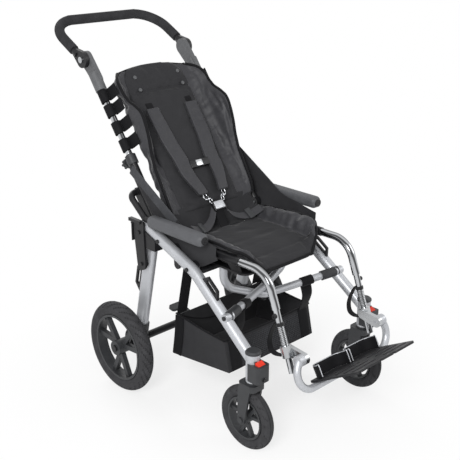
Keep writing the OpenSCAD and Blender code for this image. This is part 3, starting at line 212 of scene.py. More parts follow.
# Range of the noise over which a colour drifts
PATCH_ENDS = (0.3, 0.7)
# The way across which the chrome's painted reflection bands are counted, then each band's place and
# brightness
REFLECTION_BAND_WAY = (0.8, 0.35, 0.5)
PAINTED_REFLECTION_BANDS = (
    (0.02, 0.95),
    (0.16, 0.75),
    (0.24, 0.1),
    (0.36, 0.14),
    (0.46, 0.9),
    (0.62, 0.6),
    (0.78, 0.06),
    (0.95, 0.5),
)
# The wave texture runs this many times as fast as its scale says
WAVE_SPEED = 20


def node(tree, kind, inputs=None, **settings):
    """Adds a node with its settings, and sets or links its inputs."""
    made = tree.nodes.new(kind)
    for key, value in settings.items():
        setattr(made, key, value)
    for socket, value in (inputs or {}).items():
        if isinstance(value, bpy.types.NodeSocket):
            tree.links.new(value, made.inputs[socket])
        else:
            made.inputs[socket].default_value = value
    return made


def start_material(name):
    material = bpy.data.materials.new(name)
    material.use_nodes = True
    tree = material.node_tree
    tree.nodes.clear()
    shader = node(tree, "ShaderNodeBsdfPrincipled")
    node(tree, "ShaderNodeOutputMaterial", {"Surface": shader.outputs["BSDF"]})
    place = node(tree, "ShaderNodeTexCoord").outputs["Object"]
    return material, tree, shader, place


def per_metre(millimetres):
    """Noise scale for a feature of this size."""
    return 1 / (millimetres * MM)


def vary(tree, shader, place, colour, spread, size, rough, rough_spread):
    """Colour and roughness that drift over patches of the given size."""
    spots = {"Vector": place, "Scale": per_metre(size), "Detail": 5.0}
    patches = node(tree, "ShaderNodeTexNoise", spots).outputs["Fac"]
    ramp = node(tree, "ShaderNodeValToRGB", {"Fac": patches})
    tones = [c * (1 - spread) for c in colour], [min(1, c * (1 + spread)) for c in colour]
    for element, position, tone in zip(ramp.color_ramp.elements, PATCH_ENDS, tones):
        element.position = position
        element.color = rgba(tone)
    tree.links.new(ramp.outputs["Color"], shader.inputs["Base Color"])
    limits = {"From Min": PATCH_ENDS[0], "From Max": PATCH_ENDS[1]}
    limits |= {"To Min": rough - rough_spread, "To Max": rough + rough_spread}
    gloss = node(tree, "ShaderNodeMapRange", {"Value": patches, **limits})
    tree.links.new(gloss.outputs["Result"], shader.inputs["Roughness"])


def metal(name, colour, rough, grain, depth, metallic=1.0):
    """Metal whose grain lines or pits show as a slight spread in the highlight."""
    material, tree, shader, place = start_material(name)
    shader.inputs["Metallic"].default_value = metallic
    vary(tree, shader, place, colour, 0.05, 60, rough, rough * 0.15)
    pits = node(tree, "ShaderNodeTexNoise", {"Vector": place, "Scale": per_metre(grain), "Detail": 3.0})
    raised = {"Height": pits.outputs["Fac"], "Strength": 0.1, "Distance": depth * MM}
    relief = node(tree, "ShaderNodeBump", raised)
    tree.links.new(relief.outputs["Normal"], shader.inputs["Normal"])
    return material


def painted_reflection_chrome(name, colour, rough):
    """Polished plating with painted reflections: darker and brighter bands in the base colour that lie along
    the tube, fixed to its surface.
    """
    material, tree, shader, place = start_material(name)
    shader.inputs["Metallic"].default_value = 1.0
    around = {0: place.node.outputs["Normal"], 1: REFLECTION_BAND_WAY}
    turn = node(tree, "ShaderNodeVectorMath", around, operation="DOT_PRODUCT").outputs["Value"]
    drift = node(tree, "ShaderNodeTexNoise", {"Vector": place, "Scale": per_metre(90), "Detail": 2.0})
    shares = {0: drift.outputs["Fac"], 1: 0.3, 2: 0.35}
    sway = node(tree, "ShaderNodeMath", shares, operation="MULTIPLY_ADD").outputs["Value"]
    shift = node(tree, "ShaderNodeMath", {0: turn, 1: 0.5, 2: sway}, operation="MULTIPLY_ADD")
    ramp = node(tree, "ShaderNodeValToRGB", {"Fac": shift.outputs["Value"]})
    while len(ramp.color_ramp.elements) < len(PAINTED_REFLECTION_BANDS):
        ramp.color_ramp.elements.new(0.5)
    for element, (position, share) in zip(ramp.color_ramp.elements, PAINTED_REFLECTION_BANDS):
        element.position = position
        element.color = rgba([c * share for c in colour])
    # The base colour carries painted reflections: dark and bright bands set by the way the surface turns
    tree.links.new(ramp.outputs["Color"], shader.inputs["Base Color"])
    grime = node(tree, "ShaderNodeTexNoise", {"Vector": place, "Scale": per_metre(8), "Detail": 4.0})
    limits = {"Value": grime.outputs["Fac"], "To Min": rough * 0.6, "To Max": rough * 1.6}
    gloss = node(tree, "ShaderNodeMapRange", limits)
    tree.links.new(gloss.outputs["Result"], shader.inputs["Roughness"])
    return material


def moulded(name, colour, rough, grain, depth, spread=0.12, shine=0.3):
    """Moulded plastic or rubber with the fine spark grain of its tool."""
    material, tree, shader, place = start_material(name)
    shader.inputs["Specular IOR Level"].default_value = shine
    vary(tree, shader, place, colour, spread, 25, rough, 0.07)
    cells = node(tree, "ShaderNodeTexVoronoi", {"Vector": place, "Scale": per_metre(grain)})
    raised = {"Height": cells.outputs["Distance"], "Strength": 0.35, "Distance": depth * MM}
    relief = node(tree, "ShaderNodeBump", raised)
    tree.links.new(relief.outputs["Normal"], shader.inputs["Normal"])
    return material


def woven(name, colour, rough, thread, depth, sheen=0.12, shine=0.12, spread=0.1):
    """Plain weave: two crossing sets of threads, with soft mottling from wear."""
    material, tree, shader, place = start_material(name)
    shader.inputs["Specular IOR Level"].default_value = shine
    shader.inputs["Sheen Weight"].default_value = sheen
    shader.inputs["Sheen Roughness"].default_value = 0.4
    vary(tree, shader, place, colour, spread, 30, rough, 0.05)
    lines = []
    for turn in ((0.0, 0.0, 0.0), (math.radians(90), 0.0, math.radians(90))):
        turned = node(tree, "ShaderNodeMapping", {"Vector": place, "Rotation": turn})
        scale = per_metre(thread) / WAVE_SPEED
        inputs = {"Vector": turned.outputs["Vector"], "Scale": scale, "Distortion": 0.6}
        wave = node(tree, "ShaderNodeTexWave", inputs, bands_direction="DIAGONAL")
        lines.append(wave.outputs["Fac"])
    cross = node(tree, "ShaderNodeMath", {0: lines[0], 1: lines[1]}, operation="MULTIPLY")
    raised = {"Height": cross.outputs["Value"], "Strength": 0.5, "Distance": depth * MM}
    relief = node(tree, "ShaderNodeBump", raised)
    tree.links.new(relief.outputs["Normal"], shader.inputs["Normal"])
    return material


FINISHES = {}


def make_finishes(colours):
    """The finishes, by the record's slots."""
    # Silver paint on aluminium tube: soft grey with broad highlights
    FINISHES["frame_silver"] = metal("silver painted aluminium", colours.frame_silver, 0.4, 0.8, 0.01, 0.5)
    # Decorative chrome: painted reflections of a dim studio, as bands along the tubes
    FINISHES["chrome"] = painted_reflection_chrome("chrome plated steel with painted reflections", colours.chrome, 0.08)
    # Zinc plate: bright, slightly milky
    FINISHES["bright_steel"] = metal("zinc plated steel", colours.steel, 0.24, 1.2, 0.01)
    # Glass filled nylon: dull dark grey with a spark grain
    FINISHES["dark_plastic"] = moulded("glass filled nylon", colours.plastic, 0.46, 1.4, 0.05)
    # Satin nylon: a paler grey with a soft sheen
    FINISHES["sleeve"] = moulded("satin nylon", colours.sleeve, 0.42, 1.4, 0.03)
    # Powder coat: fine orange peel on black
    FINISHES["black_metal"] = moulded("powder coated steel", colours.black_metal, 0.38, 2.0, 0.04)
    # Solid polyurethane tyre: matt, dusty in patches
    FINISHES["tyre_black"] = moulded("tyre rubber", colours.rubber, 0.72, 1.6, 0.06, 0.25, 0.2)
    # Red ABS: the only bright colour
    FINISHES["button_red"] = moulded("red ABS", colours.button, 0.35, 1.5, 0.02, 0.06)
    # Closed cell foam: dead matt with open pores, drawn at 2 mm so that they show
    FINISHES["foam_black"] = moulded("closed cell foam", colours.foam, 0.85, 2.0, 0.25, 0.2, 0.12)
    # Integral skin polyurethane: leathery grain
    FINISHES["arm_grey"] = moulded("integral skin polyurethane", colours.arm, 0.55, 3.0, 0.3)
    # Polypropylene with a coarse tool texture
    FINISHES["footplate_black"] = moulded("polypropylene", colours.footplate, 0.5, 1.8, 0.08)
    # Polyester canvas: threads of 0.5 mm drawn at 2.4 mm so that the weave shows
    FINISHES["cloth_grey"] = woven("polyester canvas", colours.cloth, 0.72, 2.4, 0.2, 0.1)
    # Wings, bolsters, shoulder pads and lap belts: the same canvas in a lighter grey, a lit copy of the
    # cloth that paints light on them
    FINISHES["painted_lit_cloth"] = woven("polyester canvas with painted light", colours.painted_lit_cloth, 0.5, 2.4, 0.06, 0.15, 0.22, 0.05)
    # Nylon webbing: ribs of 1 mm drawn at 2 mm
    FINISHES["webbing_black"] = woven("nylon webbing", colours.webbing, 0.7, 2.0, 0.2, 0.06)
    # Grosgrain tape: a lighter grey that picks out the edges
    FINISHES["tape"] = woven("grosgrain tape", colours.tape, 0.8, 1.8, 0.2)


# Modelling steps

# How the padded cloth is blown up
CLOTH_PRESSURE = 4.0
CLOTH_STIFFNESS = 0.4
CLOTH_FRAMES = 20


def fresh(piece=None):
    """Object mode with nothing selected, or only the piece."""
    if bpy.context.object and bpy.context.object.mode != "OBJECT":
        bpy.ops.object.mode_set(mode="OBJECT")
    bpy.ops.object.select_all(action="DESELECT")
    if piece:
        piece.select_set(True)
        bpy.context.view_layer.objects.active = piece


def named(name):
    piece = bpy.context.object
    piece.name = name
    piece.data.name = name
    return piece


def modify(piece, kind, **settings):
    """Adds a modifier, sets it and applies it."""
    fresh(piece)
    made = piece.modifiers.new(kind.title(), kind)
    for key, value in settings.items():
        setattr(made, key, value)
    bpy.ops.object.modifier_apply(modifier=made.name)
    return piece


def choose(piece, test):
    """Edit mode with the faces selected whose centre and normal pass the test."""
    fresh(piece)
    bpy.ops.object.mode_set(mode="EDIT")
    bpy.ops.mesh.select_mode(type="FACE")
    bpy.ops.mesh.select_all(action="DESELECT")
    bpy.ops.object.mode_set(mode="OBJECT")
    for face in piece.data.polygons:
        face.select = bool(test(face.center, face.normal))
    bpy.ops.object.mode_set(mode="EDIT")


def outward(piece):
    """Merges doubles and turns the faces outwards."""
    fresh(piece)
    bpy.ops.object.mode_set(mode="EDIT")
    bpy.ops.mesh.select_all(action="SELECT")
    bpy.ops.mesh.remove_doubles(threshold=1e-6)
    bpy.ops.mesh.normals_make_consistent(inside=False)
    bpy.ops.object.mode_set(mode="OBJECT")
    return piece


def smooth(piece, degrees=40):
    fresh(piece)
    bpy.ops.object.shade_smooth_by_angle(angle=math.radians(degrees))
    return piece


def dress(piece, finish, body=None):
    """Gives the piece its finish, and lets it ride on a body."""
    piece.data.materials.clear()
    piece.data.materials.append(FINISHES[finish])
    if body:
        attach(piece, body)
    return piece


def copy_of(piece, name, matrix):
    """A copy with its own mesh, moved in the mesh."""
    made = bpy.data.objects.new(name, piece.data.copy())
    made.data.name = name
    bpy.context.scene.collection.objects.link(made)
    made.data.transform(matrix)
    return made


def joined(name, pieces):
    """Several meshes as one piece."""
    fresh(pieces[0])
    for piece in pieces:
        piece.select_set(True)
    bpy.ops.object.join()
    return named(name)


def smooth_path(points, count):
    """Evenly spaced points on a smooth curve through the given ones."""
    ends = [Vector(p) for p in points]
    ends = [2 * ends[0] - ends[1]] + ends + [2 * ends[-1] - ends[-2]]
    fine = []
    steps = 16
    for a, b, c, d in zip(ends, ends[1:], ends[2:], ends[3:]):
        for k in range(steps):
            t = k / steps
            bend = (2 * a - 5 * b + 4 * c - d) * t * t + (3 * b - a - 3 * c + d) * t**3
            fine.append(0.5 * (2 * b + (c - a) * t + bend))
    fine.append(ends[-2])
    reach = np.cumsum([0] + [(q - p).length for p, q in zip(fine, fine[1:])])
    table = np.array(fine)
    wanted = np.linspace(0, reach[-1], count)
    return [Vector([np.interp(w, reach, table[:, k]) for k in range(3)]) for w in wanted]


def along_path(path, share):
    """The point at a share of an evenly spaced path."""
    steps = np.linspace(0, 1, len(path))
    return Vector([np.interp(share, steps, [point[k] for point in path]) for k in range(3)])


def within(value):
    """The value held between nought and one."""
    return min(1, max(0, value))


def grid_piece(name, across, along, place):
    """A grid primitive laid on a surface: place(u, v), both from 0 to 1."""
    fresh()
    bpy.ops.mesh.primitive_grid_add(x_subdivisions=across, y_subdivisions=along, size=1)
    piece = named(name)
    for vertex in piece.data.vertices:
        vertex.co = place(vertex.co.x + 0.5, vertex.co.y + 0.5)
    return piece


def block_piece(name, cuts, place):
    """A cube primitive cut into cells and laid between surfaces: place(u, v, w), each from -1 to 1."""
    fresh()
    bpy.ops.mesh.primitive_cube_add(size=2)
    piece = named(name)
    bpy.ops.object.mode_set(mode="EDIT")
    bpy.ops.mesh.subdivide(number_cuts=cuts)
    bpy.ops.object.mode_set(mode="OBJECT")
    for vertex in piece.data.vertices:
        vertex.co = place(*vertex.co)
    return outward(piece)


def strap(name, points, across, width, thick, count=40, rows=4, soft=False):
    """A band along the points, in metres; across is its width's way, and it and the width can be lists."""
    path = smooth_path(points, count + 1)
    if isinstance(across, list):
        ways = [way.normalized() for way in smooth_path(across, count + 1)]
    else:
        ways = [across.normalized()] * (count + 1)
    widths = width if isinstance(width, list) else [width]

    def place(u, v):
        wide = np.interp(v, np.linspace(0, 1, len(widths)), widths)
        return along_path(path, v) + along_path(ways, v) * (u - 0.5) * wide

    piece = grid_piece(name, rows, count, place)
    modify(piece, "SOLIDIFY", thickness=thick, offset=0)
    if soft:
        modify(piece, "SUBSURF", levels=2, render_levels=2)
    else:
        modify(piece, "BEVEL", width=thick * 0.3, segments=2, limit_method="ANGLE")
    outward(piece)
    return smooth(piece, 60)


def tube(name, points, radius, count=60, sides=6):
    """A round piece along the points."""
    path = smooth_path(points, count)
    curve = bpy.data.curves.new(name, "CURVE")
    curve.dimensions = "3D"
    curve.bevel_depth = radius
    curve.bevel_resolution = sides
    curve.use_fill_caps = True
    line = curve.splines.new("POLY")
    line.points.add(count - 1)
    for k, point in enumerate(path):
        line.points[k].co = (*point, 1)
    piece = bpy.data.objects.new(name, curve)
    bpy.context.scene.collection.objects.link(piece)
    fresh(piece)
    bpy.ops.object.convert(target="MESH")
    piece = named(name)
    outward(piece)
    return smooth(piece, 50)


def bevelled_box(name, size, matrix, width, segments=3):
    """A box of the size in metres with rounded edges, moved by the matrix."""
    fresh()
    bpy.ops.mesh.primitive_cube_add(size=1)
    piece = named(name)
    piece.data.transform(Matrix.Diagonal((*size, 1)))
    bpy.ops.object.mode_set(mode="EDIT")
    bpy.ops.mesh.select_all(action="SELECT")
    bpy.ops.mesh.bevel(offset=width, segments=segments, affect="EDGES")
    bpy.ops.object.mode_set(mode="OBJECT")
    piece.data.transform(matrix)
    return smooth(piece, 40)


def button(name, radius, height, matrix):
    """A round stud along local Z with a stepped and dished face."""
    fresh()
    bpy.ops.mesh.primitive_cylinder_add(vertices=28, radius=radius, depth=height)
    piece = named(name)
    piece.data.transform(Matrix.Translation((0, 0, height / 2)))
    choose(piece, lambda centre, normal: normal.z > 0.9)
    bpy.ops.mesh.bevel(offset=min(radius, height) * 0.2, segments=2, affect="EDGES")
    bpy.ops.object.mode_set(mode="OBJECT")
    top = max(v.co.z for v in piece.data.vertices)
    choose(piece, lambda centre, normal: normal.z > 0.9 and centre.z > top - 1e-6)
    bpy.ops.mesh.inset(thickness=radius * 0.3, depth=0)
    bpy.ops.mesh.inset(thickness=radius * 0.08, depth=-height * 0.25)
    bpy.ops.object.mode_set(mode="OBJECT")
    piece.data.transform(matrix)
    return smooth(piece, 35)


def link(name, radius, wire, around, matrix):
    """A round ring of wire about local Z, moved by the matrix."""
    fresh()
    bpy.ops.mesh.primitive_torus_add(
        major_segments=28, minor_segments=around, major_radius=radius * MM, minor_radius=wire * MM
    )
    piece = named(name)
    piece.data.transform(matrix)
    return smooth(piece)


def axes(origin, z_way, x_way=X_WAY):
    """A matrix at the origin with Z along z_way and X near x_way."""
    z = z_way.normalized()
    y = z.cross(x_way).normalized()
    x = y.cross(z)
    return Matrix.Translation(origin) @ Matrix((x, y, z)).transposed().to_4x4()


def points_of(piece):
    return np.array([vertex.co for vertex in piece.data.vertices])


def puff(piece, cell, cap, pinned, slack=0.05):
    """Remeshes a padded form and blows it up as cloth.

    It is held where pinned(point) is one, and no point moves further than the cap.
    """
    modify(piece, "REMESH", mode="VOXEL", voxel_size=cell)
    start = points_of(piece)
    group = piece.vertex_groups.new(name="held")
    for vertex in piece.data.vertices:
        group.add([vertex.index], pinned(vertex.co), "REPLACE")
    fresh(piece)
    cloth = piece.modifiers.new("Cloth", "CLOTH")
    rules = cloth.settings
    rules.quality = 4
    rules.use_pressure = True
    rules.uniform_pressure_force = CLOTH_PRESSURE
    rules.vertex_group_mass = "held"
    rules.bending_stiffness = CLOTH_STIFFNESS
    rules.shrink_min = -slack
    rules.effector_weights.gravity = 0
    scene = bpy.context.scene
    for step in range(1, CLOTH_FRAMES + 1):
        scene.frame_set(step)
    bpy.ops.object.modifier_apply(modifier=cloth.name)
    scene.frame_set(1)
    piece.vertex_groups.clear()
    moved = points_of(piece) - start
    reach = np.linalg.norm(moved, axis=1)
    share = np.minimum(1, cap / np.maximum(reach, 1e-9))
    for vertex, point in zip(piece.data.vertices, start + moved * share[:, None]):
        vertex.co = point
    return modify(piece, "SMOOTH", factor=0.5, iterations=7)


def press(piece, depth):
    """Pushes points in along their normals by depth(point), for seams."""
    normals = [v.normal.copy() for v in piece.data.vertices]
    for vertex, normal in zip(piece.data.vertices, normals):
        vertex.co -= normal * depth(vertex.co)
    return piece


def groove(distance, width):
    """Share of a seam's depth at a distance from its line."""
    return math.exp(-((distance / width) ** 2))


def shares_at(table, position):
    """An evenly spaced row of shares, read at a position from 0 to 1."""
    return float(np.interp(position, np.linspace(0, 1, len(table)), table))


def cloth_area(piece):
    """One side of a thickened cloth."""
    return sum(face.area for face in piece.data.polygons) / 2


def upholster(piece, finish, body):
    """Rounds a padded piece off and gives it its cloth."""
    modify(piece, "SUBSURF", levels=1, render_levels=1)
    outward(piece)
    smooth(piece, 80)
    dress(piece, finish, body)


# Stage

CAMERA_PLACE = Vector((-1.809, -1.8742, 1.490))
CAMERA_AIM = Vector((0, -0.0065, 0.5254))
CAMERA_LENS = 68.02
# Each lamp's place, power and size
LAMPS = {
    "key": ((-2.5, -1.7, 2.2), 92, 1.2),
    "fill": ((2.4, -2.4, 2.4), 26, 1.8),
    "rim": ((0.6, 3.0, 2.6), 34, 1.6),
}
LAMP_AIM = Vector((0, 0, 0.5))
WORLD_LIGHT = 0.5
WHITE = (1, 1, 1, 1)


def facing(place, aim):
    """The turn that points a lamp or camera from its place at its aim."""
    return (aim - place).to_track_quat("-Z", "Y").to_euler()


def seen_rays(tree):
    """One for rays that carry a view, straight, mirrored or through glass, and nought for lighting."""
    path = node(tree, "ShaderNodeLightPath")
    kinds = ("Is Camera Ray", "Is Glossy Ray", "Is Transmission Ray")
    seen = path.outputs[kinds[0]]
    for kind in kinds[1:]:
        both = {0: seen, 1: path.outputs[kind]}
        seen = node(tree, "ShaderNodeMath", both, operation="MAXIMUM").outputs["Value"]
    return seen


class BUGGY_OT_stage(bpy.types.Operator):
    """Camera, pale floor, white surround and soft lamps"""

    bl_idname = "buggy.stage"
    bl_label = "Stage"

    def execute(self, context):
        scene = context.scene
        scene.view_settings.view_transform = "Standard"
        lens = bpy.data.cameras.new("camera")
        lens.lens = CAMERA_LENS
        lens.sensor_width = 36
        camera = bpy.data.objects.new("camera", lens)
        scene.collection.objects.link(camera)
        camera.location = CAMERA_PLACE
        camera.rotation_euler = facing(CAMERA_PLACE, CAMERA_AIM)
        scene.camera = camera
        self.floor()
        self.surround(scene)
        for name, (where, power, size) in LAMPS.items():
            lamp = bpy.data.lights.new(name, "AREA")
            lamp.energy = power
            lamp.size = size
            holder = bpy.data.objects.new(name, lamp)
            scene.collection.objects.link(holder)
            holder.location = where
            holder.rotation_euler = facing(Vector(where), LAMP_AIM)
        return {"FINISHED"}

    def floor(self):
        """A pale floor that keeps the shadow."""
        fresh()
        bpy.ops.mesh.primitive_plane_add(size=14)
        floor = named("floor")
        material, tree, shader, place = start_material("pale studio floor")
        shader.inputs["Base Color"].default_value = rgba(linear("#f4f4f4"))
        shader.inputs["Roughness"].default_value = 0.9
        shader.inputs["Specular IOR Level"].default_value = 0.1
        # The floor melts into the white surround away from the buggy
        reach = node(tree, "ShaderNodeVectorMath", {0: place}, operation="LENGTH")
        limits = {"Value": reach.outputs["Value"], "From Min": 0.25, "From Max": 0.85, "To Min": 0.68}
        fade = node(tree, "ShaderNodeMapRange", limits)
        white = node(tree, "ShaderNodeEmission", {"Color": WHITE, "Strength": 1.0})
        both = {0: seen_rays(tree), 1: fade.outputs["Result"]}
        seen = node(tree, "ShaderNodeMath", both, operation="MULTIPLY").outputs["Value"]
        halves = {"Fac": seen, 1: shader.outputs["BSDF"], 2: white.outputs["Emission"]}
        mix = node(tree, "ShaderNodeMixShader", halves)
        output = next(n for n in tree.nodes if n.type == "OUTPUT_MATERIAL")
        tree.links.new(mix.outputs["Shader"], output.inputs["Surface"])
        floor.data.materials.append(material)
        floor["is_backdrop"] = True

    def surround(self, scene):
        """White to the eye, and dimmer as a light."""
        world = bpy.data.worlds.new("studio")
        scene.world = world
        world.use_nodes = True
        tree = world.node_tree
        tree.nodes.clear()
        light = node(tree, "ShaderNodeBackground", {"Color": WHITE, "Strength": WORLD_LIGHT})
        white = node(tree, "ShaderNodeBackground", {"Color": WHITE, "Strength": 1.0})
        halves = {"Fac": seen_rays(tree), 1: light.outputs["Background"], 2: white.outputs["Background"]}
        mix = node(tree, "ShaderNodeMixShader", halves)
        node(tree, "ShaderNodeOutputWorld", {"Surface": mix.outputs["Shader"]})


# Finishes of the carried nodes

# Nodes whose real finish is nearer to another one than to their slot's
CLOSER_FINISH = {"footrest_bar": "frame_silver", "mast_sleeves": "sleeve", "frame_bolts": "black_metal"}


class BUGGY_OT_finishes(bpy.types.Operator):
    """Procedural finishes for every node of the frame"""

    bl_idname = "buggy.finishes"
    bl_label = "Finishes"

    def execute(self, context):
        make_finishes(context.scene.buggy_colours)
        for part in frame["record"]["subparts"]:
            carried = NODES[part["node"]]
            carried.data.materials.clear()
            finish = CLOSER_FINISH.get(part["node"], part["material_slot"])
            carried.data.materials.append(FINISHES[finish])
        return {"FINISHED"}


# Seat and back

SEAT_FRONT, SEAT_REAR, SEAT_TOP, SEAT_THICK, SEAT_HALF = -205.0, 100.0, 530.0, 46.0, 192.0
BOLSTER = 53.0
LIP_DROP = 33.0
# Distance of the seat's side seams from its middle
SEAT_SEAM = 132.0
SEAT_X = [0, 0.36, 0.62, 0.72, 0.76, 0.8, 0.85, 0.93, 1]
SEAT_UP = [0, -0.02, 0.05, 0.18, 0.36, 0.62, 0.9, 1, 0.7]
SEAT_UNDER = [0, 0, 0, 0.1, 0.68, 1.06, 1.26, 1.26, 1.26]
# Places along the seat, then width, rise of the top, rise of the bottom and drop of the lip
SEAT_ROWS = [
    (0, 0.03, 0.07, 0.115, 0.17, 0.25, 0.4, 0.55, 0.7, 0.85, 0.95, 1),
    (0.56, 0.68, 0.77, 0.82, 0.95, 1, 1, 1, 1, 1, 0.99, 0.98),
    (0, 0.34, 0.7, 0.96, 1.06, 1.06, 1, 0.93, 0.86, 0.79, 0.72, 0.62),
    (0, 0.12, 0.5, 0.85, 1, 1, 1, 1, 1, 1, 1, 1),
    (1, 0.86, 0.7, 0.55, 0.4, 0.24, 0.06, 0, 0, 0, 0, 0),
]


def seat_place(u, v, w):
    """The seat cushion's form: across, from front to rear, and from under to top."""
    along = (v + 1) / 2
    width, rise, under, drop = (float(np.interp(along, SEAT_ROWS[0], row)) for row in SEAT_ROWS[1:])
    side = abs(u)
    x = math.copysign(shares_at(SEAT_X, side) * SEAT_HALF * width * 0.985, u)
    top = SEAT_TOP + shares_at(SEAT_UP, side) * BOLSTER * rise - LIP_DROP * drop - 3
    low = SEAT_TOP - SEAT_THICK + shares_at(SEAT_UNDER, side) * BOLSTER * under + 0.6
    share = (w + 1) / 2
    return spot(x, SEAT_FRONT + 2 + along * (SEAT_REAR - SEAT_FRONT - 4), low + (top - low) * share)


class BUGGY_OT_seat_cushion(bpy.types.Operator):
    """Seat cushion: a dished pad with side bolsters, a rolled lip and bound edges"""

    bl_idname = "buggy.seat_cushion"
    bl_label = "Seat cushion"

    def execute(self, context):
        sizes = context.scene.buggy_sizes
        piece = block_piece("seat_cushion", 40, seat_place)
        low = SEAT_TOP - SEAT_THICK

        def pinned(point):
            x, y, z = point / MM
            y += DRAWING_Y
            along = within((y - SEAT_FRONT) / (SEAT_REAR - SEAT_FRONT))
            under = z < low + 5 and along > 0.1
            rear = along > 0.97
            seam = abs(abs(x) - SEAT_SEAM) < 4 and z > low + 20
            edge = abs(x) > SEAT_HALF * 0.95 * float(np.interp(along, SEAT_ROWS[0], SEAT_ROWS[1]))
            return 1.0 if under or rear or seam or edge else 0.0

        puff(piece, sizes.voxel, sizes.swell, pinned)

        def seams(point):
            x, y, z = point / MM
            y += DRAWING_Y
            top = 1 if z > low + 25 else 0
            inside = abs(x) < SEAT_SEAM
            sides = groove(abs(x) - SEAT_SEAM, 4)
            front = groove(y - (SEAT_FRONT + 52), 4) * inside
            folds = noise.noise(Vector((x * 0.014, y * 0.03, 3)))
            crease = (4.5 if inside else 11) * max(0, folds)
            return top * (2.6 * sides + 2.2 * front + crease) * MM

        press(piece, seams)
        for vertex in piece.data.vertices:
            vertex.co.z = max(vertex.co.z, low * MM)
            vertex.co.x = math.copysign(min(abs(vertex.co.x), SEAT_HALF * MM), vertex.co.x)
        upholster(piece, "cloth_grey", "frame")
        # The bolsters outside the side seams take the lighter copy of the cloth: painted light
        piece.data.materials.append(FINISHES["painted_lit_cloth"])
        for face in piece.data.polygons:
            face.material_index = int(abs(face.center.x) > SEAT_SEAM * MM)
        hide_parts("seat_pad")
        rim = [seat_place(-0.965, v, 1.04) for v in np.linspace(0.98, -0.84, 16)]
        rim += [seat_place(u, -0.985, -0.1) for u in np.linspace(-0.86, 0, 8)]
        rim += [Vector((-p.x, p.y, p.z)) for p in reversed(rim[:-1])]
        binding = tube("seat_binding", rim, sizes.binding, 160)
        dress(binding, "webbing_black", "frame")
        return {"FINISHED"}


PAD_FROM, PAD_LENGTH, PAD_OFF, PAD_THICK, PAD_HALF = 25.0, 520.0, 2.0, 30.0, 190.0
WING_DEPTH, WING_THICK = 113.0, 22.0
BACK_X = [0, 0.3, 0.6, 0.8, 0.91, 0.98, 1, 1]
BACK_O = [0, 0, 0, 0.03, 0.14, 0.36, 0.7, 1]
BACK_T = [1, 1, 0.97, 0.95, 0.85, 0.5, 0.2, 0]
BACK_W = [0, 0, 0, 0.2, 0.6, 1, 1, 0.6]
ARCH = 34.0
# Places along the back, then the wing's depth, the width and the arch of the top
BACK_ROWS = [
    (0, 0.07, 0.175, 0.295, 0.394, 0.471, 0.53, 0.587, 0.633)
    + (0.683, 0.742, 0.798, 0.85, 0.895, 0.935, 0.965, 0.985, 1),
    (0.3, 0.38, 0.43, 0.48, 0.62, 0.78, 0.87, 0.93, 0.94)
    + (0.82, 0.62, 0.54, 0.52, 0.47, 0.41, 0.34, 0.26, 0.18),
    (0.98, 1, 1, 1, 1, 1, 1, 1, 1, 1, 1, 1, 1, 0.98, 0.94, 0.89, 0.84, 0.78),
    (0, 0, 0, 0, 0, 0, 0, 0, 0, 0, 0, 0.05, 0.12, 0.3, 0.5, 0.75, 0.9, 1),
]
# Where the panel ends and the wing begins, as a share of the profile across
SEAM = 0.33
# Height of the level seam under the head, and the snaps above it
HEAD_SEAM = 446
SNAPS = ((-90, 497), (90, 497), (-90, 452), (90, 452))


def back_row(column, along):
    return float(np.interp(along, BACK_ROWS[0], BACK_ROWS[column]))


def back_share(s):
    """How far up the cushion a height lies, from nought to one."""
    return within((s - PAD_FROM) / PAD_LENGTH)


def wing_reach(s):
    """How far forward the wing's tip lies at a height."""
    return PAD_OFF + back_row(1, back_share(s)) * WING_DEPTH


def back_form(u, v, w):
    """The back's form: across, from foot to top, and from the outside to the inside."""
    along = (v + 1) / 2
    side = abs(u)
    inner = (w + 1) / 2
    depth = back_row(1, along) * WING_DEPTH
    x = shares_at(BACK_X, side) * PAD_HALF * back_row(2, along) * 0.99
    x -= inner * WING_THICK * shares_at(BACK_W, side)
    o = PAD_OFF + 0.8 + shares_at(BACK_O, side) * depth + inner * PAD_THICK * 0.9 * shares_at(BACK_T, side)
    s = PAD_FROM + 2 + along * (PAD_LENGTH - 4) - ARCH * back_row(3, along) * (x / PAD_HALF) ** 2
    return on_back(math.copysign(x, u), s, o)


